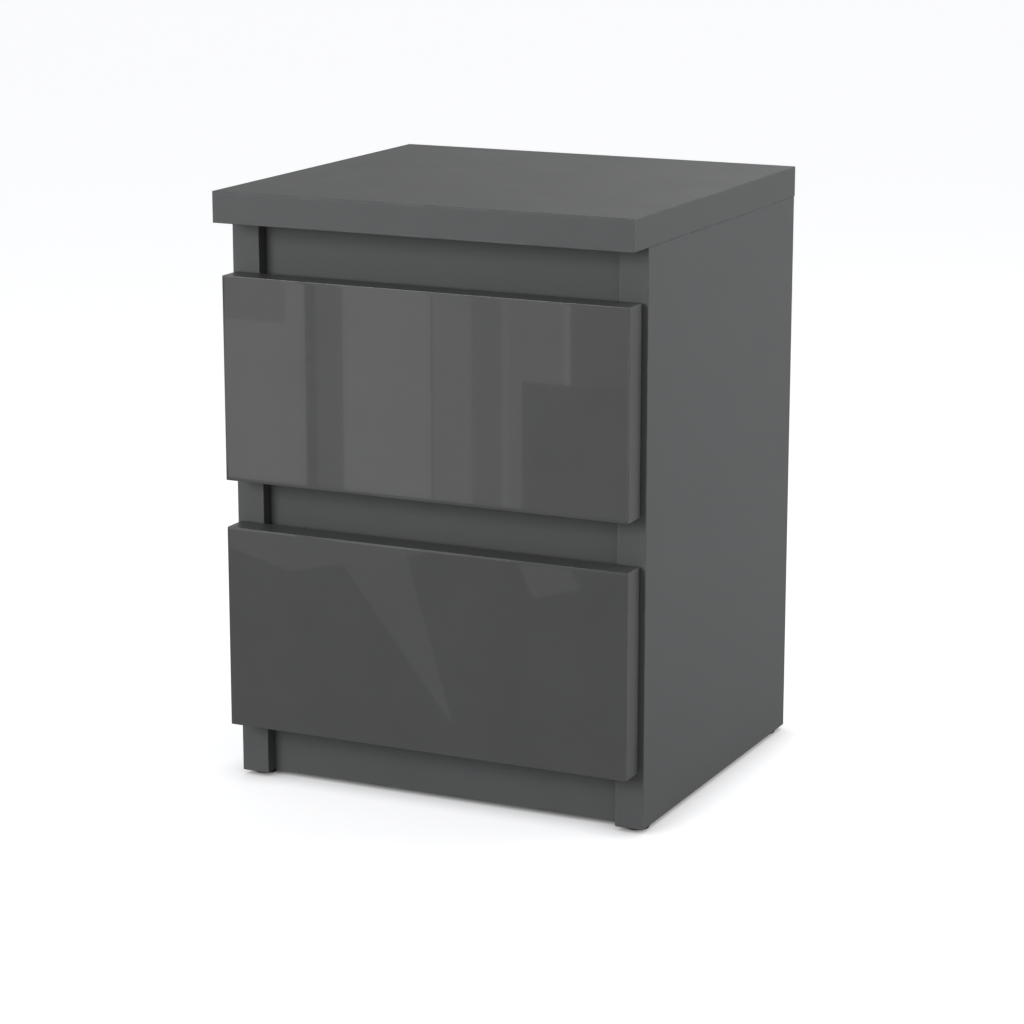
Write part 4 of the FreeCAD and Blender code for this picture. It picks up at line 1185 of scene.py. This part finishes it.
RUNNER_SCREW = (0.9 * MM, 3.2 * MM, 1.7 * MM)
BOARD_SCREW = (2.5 * MM, 3.5 * MM, 1.9 * MM)
screws("cabinet_channel_screws", INWARD, *RUNNER_SCREW)
for height in ("upper", "lower"):
    screws(height + "_drawer_member_screws", OUTWARD, *RUNNER_SCREW)
    screws(height + "_drawer_back_screws", OUTWARD, *BOARD_SCREW)

# %% [markdown]
# ## Runners
#
# Each drawer hangs on a pair of bent steel runners. The channel is screwed to the side panel, and its
# floor carries the drawer's rear roller. The member is screwed under the drawer's side, and its flange
# rolls over the channel's front roller. Spare slots along the web are for other cabinets.

# %% Strips with their slots
STEEL = 1.2 * MM
HALF_STEEL = STEEL / 2
BEND = 1.3 * MM
SPARE_SLOT = stadium_outline(9 * MM, 4.2 * MM)


def bent_strip(node, sign, wall, foot, corners):
    """A strip as long as its node, bent at corners given as (out from the side panel, up)."""
    low, high = corners_of(node)
    line = bends(corners, BEND) * (-sign, 1) + (wall, foot)
    return new_piece("bent_" + node, [extruded(strip_section(line, STEEL), low[1], high[1])])


def spare_slots(node, web_x, level, places):
    """Oblong cutters through a web at shares of its length."""
    low, high = corners_of(node)
    reach = 3 * MM
    return [
        prism(SPARE_SLOT, (web_x, low[1] + (high[1] - low[1]) * share, level), 0, [(-reach, 1), (reach, 1)])
        for share in places
    ]


def stop_tab(node, wall, foot):
    """The upright tab on a channel's floor that stops the rear roller.

    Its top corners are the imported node's only points clear of the web, above the floor and below
    half the channel's height.
    """
    points = read(frame["nodes"][node].data.vertices, "co")
    clear = np.abs(points[:, 0] - wall) > 2 * STEEL
    above = (points[:, 2] > foot + 1.5 * STEEL) & (points[:, 2] < foot + 10 * MM)
    low, high = (find(points[clear & above], axis=0) for find in (np.min, np.max))
    low[2] = foot + HALF_STEEL
    half, centre = (high - low) / 2, (high + low) / 2
    outline = [(-half[2], -half[0]), (half[2], -half[0]), (half[2], half[0]), (-half[2], half[0])]
    return prism(softened(outline, MM), centre, 1, [(-half[1], 1), (half[1], 1)])


# %% [markdown]
# The channel's section is a C: floor, web and a top flange that is cut away in front, where the
# roller stands. The member's is a Z: a flange that rolls over the channel's roller, a web, and a foot
# under the drawer's side. Both are measured out from the side panel and up from the channel's floor.

# %% Channels and members
CHANNEL_FLOOR = 10.7 * MM
CHANNEL_FLANGE = 9 * MM
CHANNEL_SLOT_LEVEL = 12 * MM
CHANNEL_SLOTS = (0.2, 0.3, 0.4, 0.6, 0.7, 0.8, 0.94)
CUT_AWAY = 45 * MM
CUT_AWAY_OUT = (2.2 * MM, 14 * MM)
MEMBER_FLANGE = (2.8 * MM, 21 * MM)
MEMBER_WEB = 11.3 * MM
MEMBER_FOOT = (22.5 * MM, 4 * MM)
MEMBER_SLOT_LEVEL = 13 * MM
MEMBER_SLOTS = (0.22, 0.32, 0.42, 0.62, 0.72, 0.8)


def channel(node, sign):
    """A cabinet channel with its cut-away flange, spare slots, holes and stop tab."""
    low, high = corners_of(node)
    wall, foot = (low[0] if sign < 0 else high[0]), low[2]
    top = high[2] - foot - HALF_STEEL
    corners = [
        (CHANNEL_FLOOR, HALF_STEEL), (HALF_STEEL, HALF_STEEL), (HALF_STEEL, top), (CHANNEL_FLANGE, top),
    ]
    piece = combine(bent_strip(node, sign, wall, foot, corners), [stop_tab(node, wall, foot)], "UNION")
    near, far = sorted(wall - sign * out for out in CUT_AWAY_OUT)
    cutters = [block(
        (near, low[1] - OVERRUN, high[2] - 2 * MM), (far, low[1] + CUT_AWAY, high[2] + OVERRUN),
    )]
    cutters += spare_slots(node, wall, foot + CHANNEL_SLOT_LEVEL, CHANNEL_SLOTS)
    for fasteners in RUNNER_FASTENERS:
        cutters += reaching(fasteners, low, high)
    finish_piece(combine(piece, cutters), node, coated)


def member(node, sign, wall, fasteners):
    """A drawer member with its spare slots and holes."""
    low, high = corners_of(node)
    foot = low[2] - MEMBER_FOOT[1]
    web = MEMBER_WEB + HALF_STEEL
    upper, lower = MEMBER_FLANGE[1] + HALF_STEEL, MEMBER_FOOT[1] + HALF_STEEL
    corners = [(MEMBER_FLANGE[0], upper), (web, upper), (web, lower), (MEMBER_FOOT[0], lower)]
    piece = bent_strip(node, sign, wall, foot, corners)
    cutters = spare_slots(node, wall - sign * web, foot + MEMBER_SLOT_LEVEL, MEMBER_SLOTS)
    for fastener in fasteners:
        cutters += reaching(fastener, low, high)
    finish_piece(combine(piece, cutters), node, coated)


for height in ("upper", "lower"):
    for side, sign in SIDES:
        channel(f"{height}_{side}_cabinet_channel", sign)
        wall = corners_of(f"{side}_side_panel")[1 if sign < 0 else 0][0]
        fasteners = (f"{height}_drawer_member_screws", f"{height}_drawer_roller_pins")
        member(f"{height}_{side}_drawer_member", sign, wall, fasteners)

# %% [markdown]
# ## Rollers
#
# A roller is moulded nylon: a hub on the pin, a thin dished web and a rim whose corners are rounded.
# Its profile is a closed loop, so the turned surface is a ring and needs no end caps.

# %% Rollers
BORE = 2.55 * MM
DISH = 0.8 * MM
HUB, WEB_FOOT, WEB_TOP, RIM = 4.5 * MM, 4.9 * MM, 7.1 * MM, 7.5 * MM
CROWN = 0.02 * MM


def roller(node):
    """A roller whose two halves mirror each other across its middle."""
    low, high = corners_of(node)
    width, radius = high[0] - low[0], (high[2] - low[2]) / 2
    half_loop = [
        (0, BORE), (0, HUB), (DISH, WEB_FOOT), (DISH, WEB_TOP), (0, RIM), (0, radius - CROWN),
        (width / 2, radius),
    ]
    half_loop = softened(half_loop, 0.45 * MM)
    other_half = half_loop[::-1] * (-1, 1) + (width, 0)
    loop = np.concatenate([half_loop, other_half[1:]])
    middle = (low + high) / 2
    shell = turned(loop, (low[0], middle[1], middle[2]), unit(0), 64, ring=True)
    finish_piece(new_piece("moulded_" + node, [shell]), node, nylon)


for height in ("upper", "lower"):
    for side, _ in SIDES:
        for end in ("front", "rear"):
            roller(f"{height}_{side}_{end}_roller")

# %% [markdown]
# ## Glides and bumpers
#
# Glides are nailed-in plastic discs that keep the sides off the floor. Bumpers are soft domes on the
# backs of the fronts, and stop them clicking against the sides.

# %% Glides and bumpers
GLIDE_TAPER = 0.7 * MM
GLIDE_FOOT = 1 * MM
GLIDE_HEIGHT = 3 * MM


def glide(node):
    """A disc whose foot tapers in, with a pin that stands up into the side panel."""
    low, high = corners_of(node)
    middle, radius = (low + high) / 2, (high[0] - low[0]) / 2
    corners = [
        (0, 0), (0, radius - GLIDE_TAPER), (GLIDE_FOOT, radius), (GLIDE_HEIGHT, radius),
        (GLIDE_HEIGHT, GLIDE_PIN), (high[2], GLIDE_PIN), (high[2], 0),
    ]
    shell = turned(softened(corners, 0.4 * MM), (middle[0], middle[1], 0), unit(2), 48)
    finish_piece(new_piece("moulded_" + node, [shell]), node, black)


def bumpers(node):
    """Domes on the front's back: a quarter of an ellipse from a broad foot to a flat tip."""
    domes = []
    for low, high, _ in solids(node):
        middle = (low + high) / 2
        sweep = np.radians(np.linspace(0, 90, 7))
        thick, radius = high[1] - low[1], (high[0] - low[0]) / 2
        arc = np.stack([thick * (0.3 + 0.7 * np.sin(sweep)), radius * (0.45 + 0.55 * np.cos(sweep))], axis=1)
        profile = np.concatenate([[(0, 0), (0, radius)], arc, [(thick, 0)]])
        domes.append(turned(profile, (middle[0], low[1], middle[2]), unit(1), 28))
    finish_piece(new_piece("soft_" + node, domes), node, rubber)


for side, _ in SIDES:
    for end in ("front", "rear"):
        glide(f"{end}_{side}_glide")
for height in ("upper", "lower"):
    bumpers(height + "_drawer_bumpers")

# %% [markdown]
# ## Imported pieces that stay
#
# Bolts, dowels and pins have the right shape already and hide inside joints. They stay as the packed
# model has them, and get the plated and wooden finishes.

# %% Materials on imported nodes
kept = {"cam_bolts": zinc, "wood_dowels": beech, "cabinet_roller_pins": zinc}
for height in ("upper", "lower"):
    prefix = height + "_drawer_"
    kept.update({prefix + "cam_bolts": zinc, prefix + "dowels": beech, prefix + "roller_pins": zinc})
for node, material in kept.items():
    slots_of = frame["nodes"][node].data.materials
    slots_of.clear()
    slots_of.append(material)
shown = sorted(n for n, o in frame["nodes"].items() if not o.hide_render)
print("packed nodes still shown:", shown)

# %% [markdown]
# ## Floor
#
# The nightstand stands on a plain pale floor that runs far out, so no horizon shows. The floor that
# the camera sees glows, because a studio floor is lit well beyond the object's own lights. The glow
# fades where the object closes the floor off from the sky, which gives the soft contact shadow.

# %% Floor
FLOOR_REACH = 30.0
FLOOR_SEEN = 0.71
CONTACT_REACH = 0.025
CONTACT_DEPTH = 0.75
PAPER_WHITE = (0.985, 0.99, 1.0, 1)


def sheet(name, corners, material):
    """A flat staged quad that isn't part of the object."""
    mesh = bpy.data.meshes.new(name)
    mesh.from_pydata(corners, [], [(0, 1, 2, 3)])
    mesh.materials.append(material)
    piece = add_object(name, mesh)
    return piece


floor_finish, tree, shader, _ = new_material("pale floor")
shader["Base Color"].default_value = (0.5, 0.5, 0.505, 1)
shader["Roughness"].default_value = 0.75
shader["Specular IOR Level"].default_value = 0.2
shader["Emission Color"].default_value = PAPER_WHITE
seen = add(tree, "ShaderNodeLightPath").outputs["Is Camera Ray"]
open_sky = add(tree, "ShaderNodeAmbientOcclusion", Distance=CONTACT_REACH).outputs["AO"]
contact = maths(tree, "POWER", open_sky, CONTACT_DEPTH)
plug(tree, product(tree, seen, FLOOR_SEEN, contact), shader["Emission Strength"])
corner_signs = ((-1, -1), (1, -1), (1, 1), (-1, 1))
sheet("floor", [(x * FLOOR_REACH, y * FLOOR_REACH, 0) for x, y in corner_signs], floor_finish)
print("floor reaches", FLOOR_REACH, "m out")

# %% [markdown]
# ## Surround
#
# A pale surround fills the shadows. It is brighter in front and behind than overhead and at the
# sides, a little more behind than in front, and plain white where the camera looks straight at it.

# %% Surround
SURROUND_LEAST = 0.25
SURROUND_ENDS = 0.56
SURROUND_FRONT = 0.06
world = bpy.data.worlds.new("studio")
bpy.context.scene.world = world
world.use_nodes = True
tree = world.node_tree
background = tree.nodes["Background"].inputs
background["Color"].default_value = PAPER_WHITE
direction = add(tree, "ShaderNodeTexCoord").outputs["Generated"]
forward = add(tree, "ShaderNodeSeparateXYZ", i0=direction).outputs["Y"]
ends = product(tree, maths(tree, "ABSOLUTE", forward), SURROUND_ENDS)
glow = maths(tree, "ADD", product(tree, forward, -SURROUND_FRONT), ends)
glow = maths(tree, "ADD", glow, SURROUND_LEAST)
seen = add(tree, "ShaderNodeLightPath").outputs["Is Camera Ray"]
plug(tree, maths(tree, "MAXIMUM", glow, seen), background["Strength"])
bpy.context.scene.view_settings.view_transform = "Standard"
print("surround from", SURROUND_LEAST, "to", SURROUND_LEAST + SURROUND_ENDS + SURROUND_FRONT)

# %% [markdown]
# ## Softboxes
#
# Three softboxes shape the object: a small one above the top's back edge, a broad one in front on
# the left, and one behind on the right that lights the long side.


# %% Softboxes
def softbox(name, location, target, width, height, watts):
    """An area light that looks at a target."""
    data = bpy.data.lights.new(name, "AREA")
    data.shape = "RECTANGLE"
    data.size, data.size_y = width, height
    data.energy = watts
    light = bpy.data.objects.new(name, data)
    light.location = location
    light.rotation_euler = (Vector(target) - Vector(location)).to_track_quat("-Z", "Y").to_euler()
    bpy.context.scene.collection.objects.link(light)


softbox("back", (0.15, 0.5, 0.9), (0.05, 0.05, 0.4), 0.5, 0.4, 1.65)
softbox("front", (-0.8, -1.8, 0.85), (0, 0, 0.25), 1.2, 0.8, 21.8)
softbox("right", (1.6, 0.9, 0.7), (0.1, 0, 0.2), 1.0, 1.0, 19.3)
print(len(bpy.data.lights), "softboxes")

# %% [markdown]
# ## Cards for the gloss to mirror
#
# Lacquer shows what stands round it, so a bare studio would leave the fronts blank. Upright cards
# stand in front to the left, where the upper front mirrors them as bands. Low cards lie on the floor
# for the lower front. Only glossy surfaces see them: they cast no shadow and the camera misses them.

# %% Cards
CARD_Y = -0.95
CARD_TOP = 0.6
CARD_STEP = 0.0005
BANDS = (  # from x, to x, foot, top, strength
    (-0.66, -0.538, 0, CARD_TOP, 0.9), (-0.538, -0.526, 0, CARD_TOP, 0.45),
    (-0.526, -0.497, 0, CARD_TOP, 0.62), (-0.497, -0.404, 0, CARD_TOP, 0.93),
    (-0.404, -0.401, 0, CARD_TOP, 0.6), (-0.401, -0.361, 0, CARD_TOP, 0.78),
    (-0.361, -0.33, 0, CARD_TOP, 0.62), (-0.33, -0.322, 0, CARD_TOP, 0.78),
    (-0.322, -0.266, 0, CARD_TOP, 0.71), (-0.266, -0.26, 0, CARD_TOP, 0.9),
    (-0.26, -0.1, 0, CARD_TOP, 0.52), (-0.66, -0.556, 0.157, CARD_TOP, 0.72),
    (-0.308, -0.1, 0, 0.122, 0.47),
)
LOW_CARDS = {  # four corners and a strength
    "low_card": ((-0.8, -0.945), (0.1, -0.945), (0.1, -0.16), (-0.8, -0.16), 0.345),
    "low_streak_0": (
        (-0.4041, -0.7493), (-0.3325, -0.7553), (-0.0714, -0.3231), (-0.09, -0.345), 0.47,
    ),
    "low_streak_1": (
        (-0.23, -0.7688), (-0.1785, -0.7662), (-0.1405, -0.7026), (-0.1624, -0.6565), 0.49,
    ),
    "low_streak_2": ((-0.56, -0.75), (-0.42, -0.85), (-0.31, -0.76), (-0.39, -0.65), 0.49),
}


def card(name, corners, strength):
    """A flat glowing card that only mirrors and glossy surfaces see."""
    material = bpy.data.materials.new(name)
    material.use_nodes = True
    tree = material.node_tree
    tree.nodes.clear()
    glow = add(tree, "ShaderNodeEmission", Strength=strength).outputs[0]
    add(tree, "ShaderNodeOutputMaterial", Surface=glow)
    piece = sheet(name, corners, material)
    piece.visible_camera = False
    piece.visible_diffuse = False
    piece.visible_shadow = False


for count, (start, end, foot, top, strength) in enumerate(BANDS):
    y = CARD_Y + count * CARD_STEP
    card(f"band_{count}", [(start, y, foot), (end, y, foot), (end, y, top), (start, y, top)], strength)
for count, (name, (*corners, strength)) in enumerate(LOW_CARDS.items(), start=1):
    card(name, [(x, y, count * CARD_STEP) for x, y in corners], strength)
print(len(BANDS) + len(LOW_CARDS), "cards")
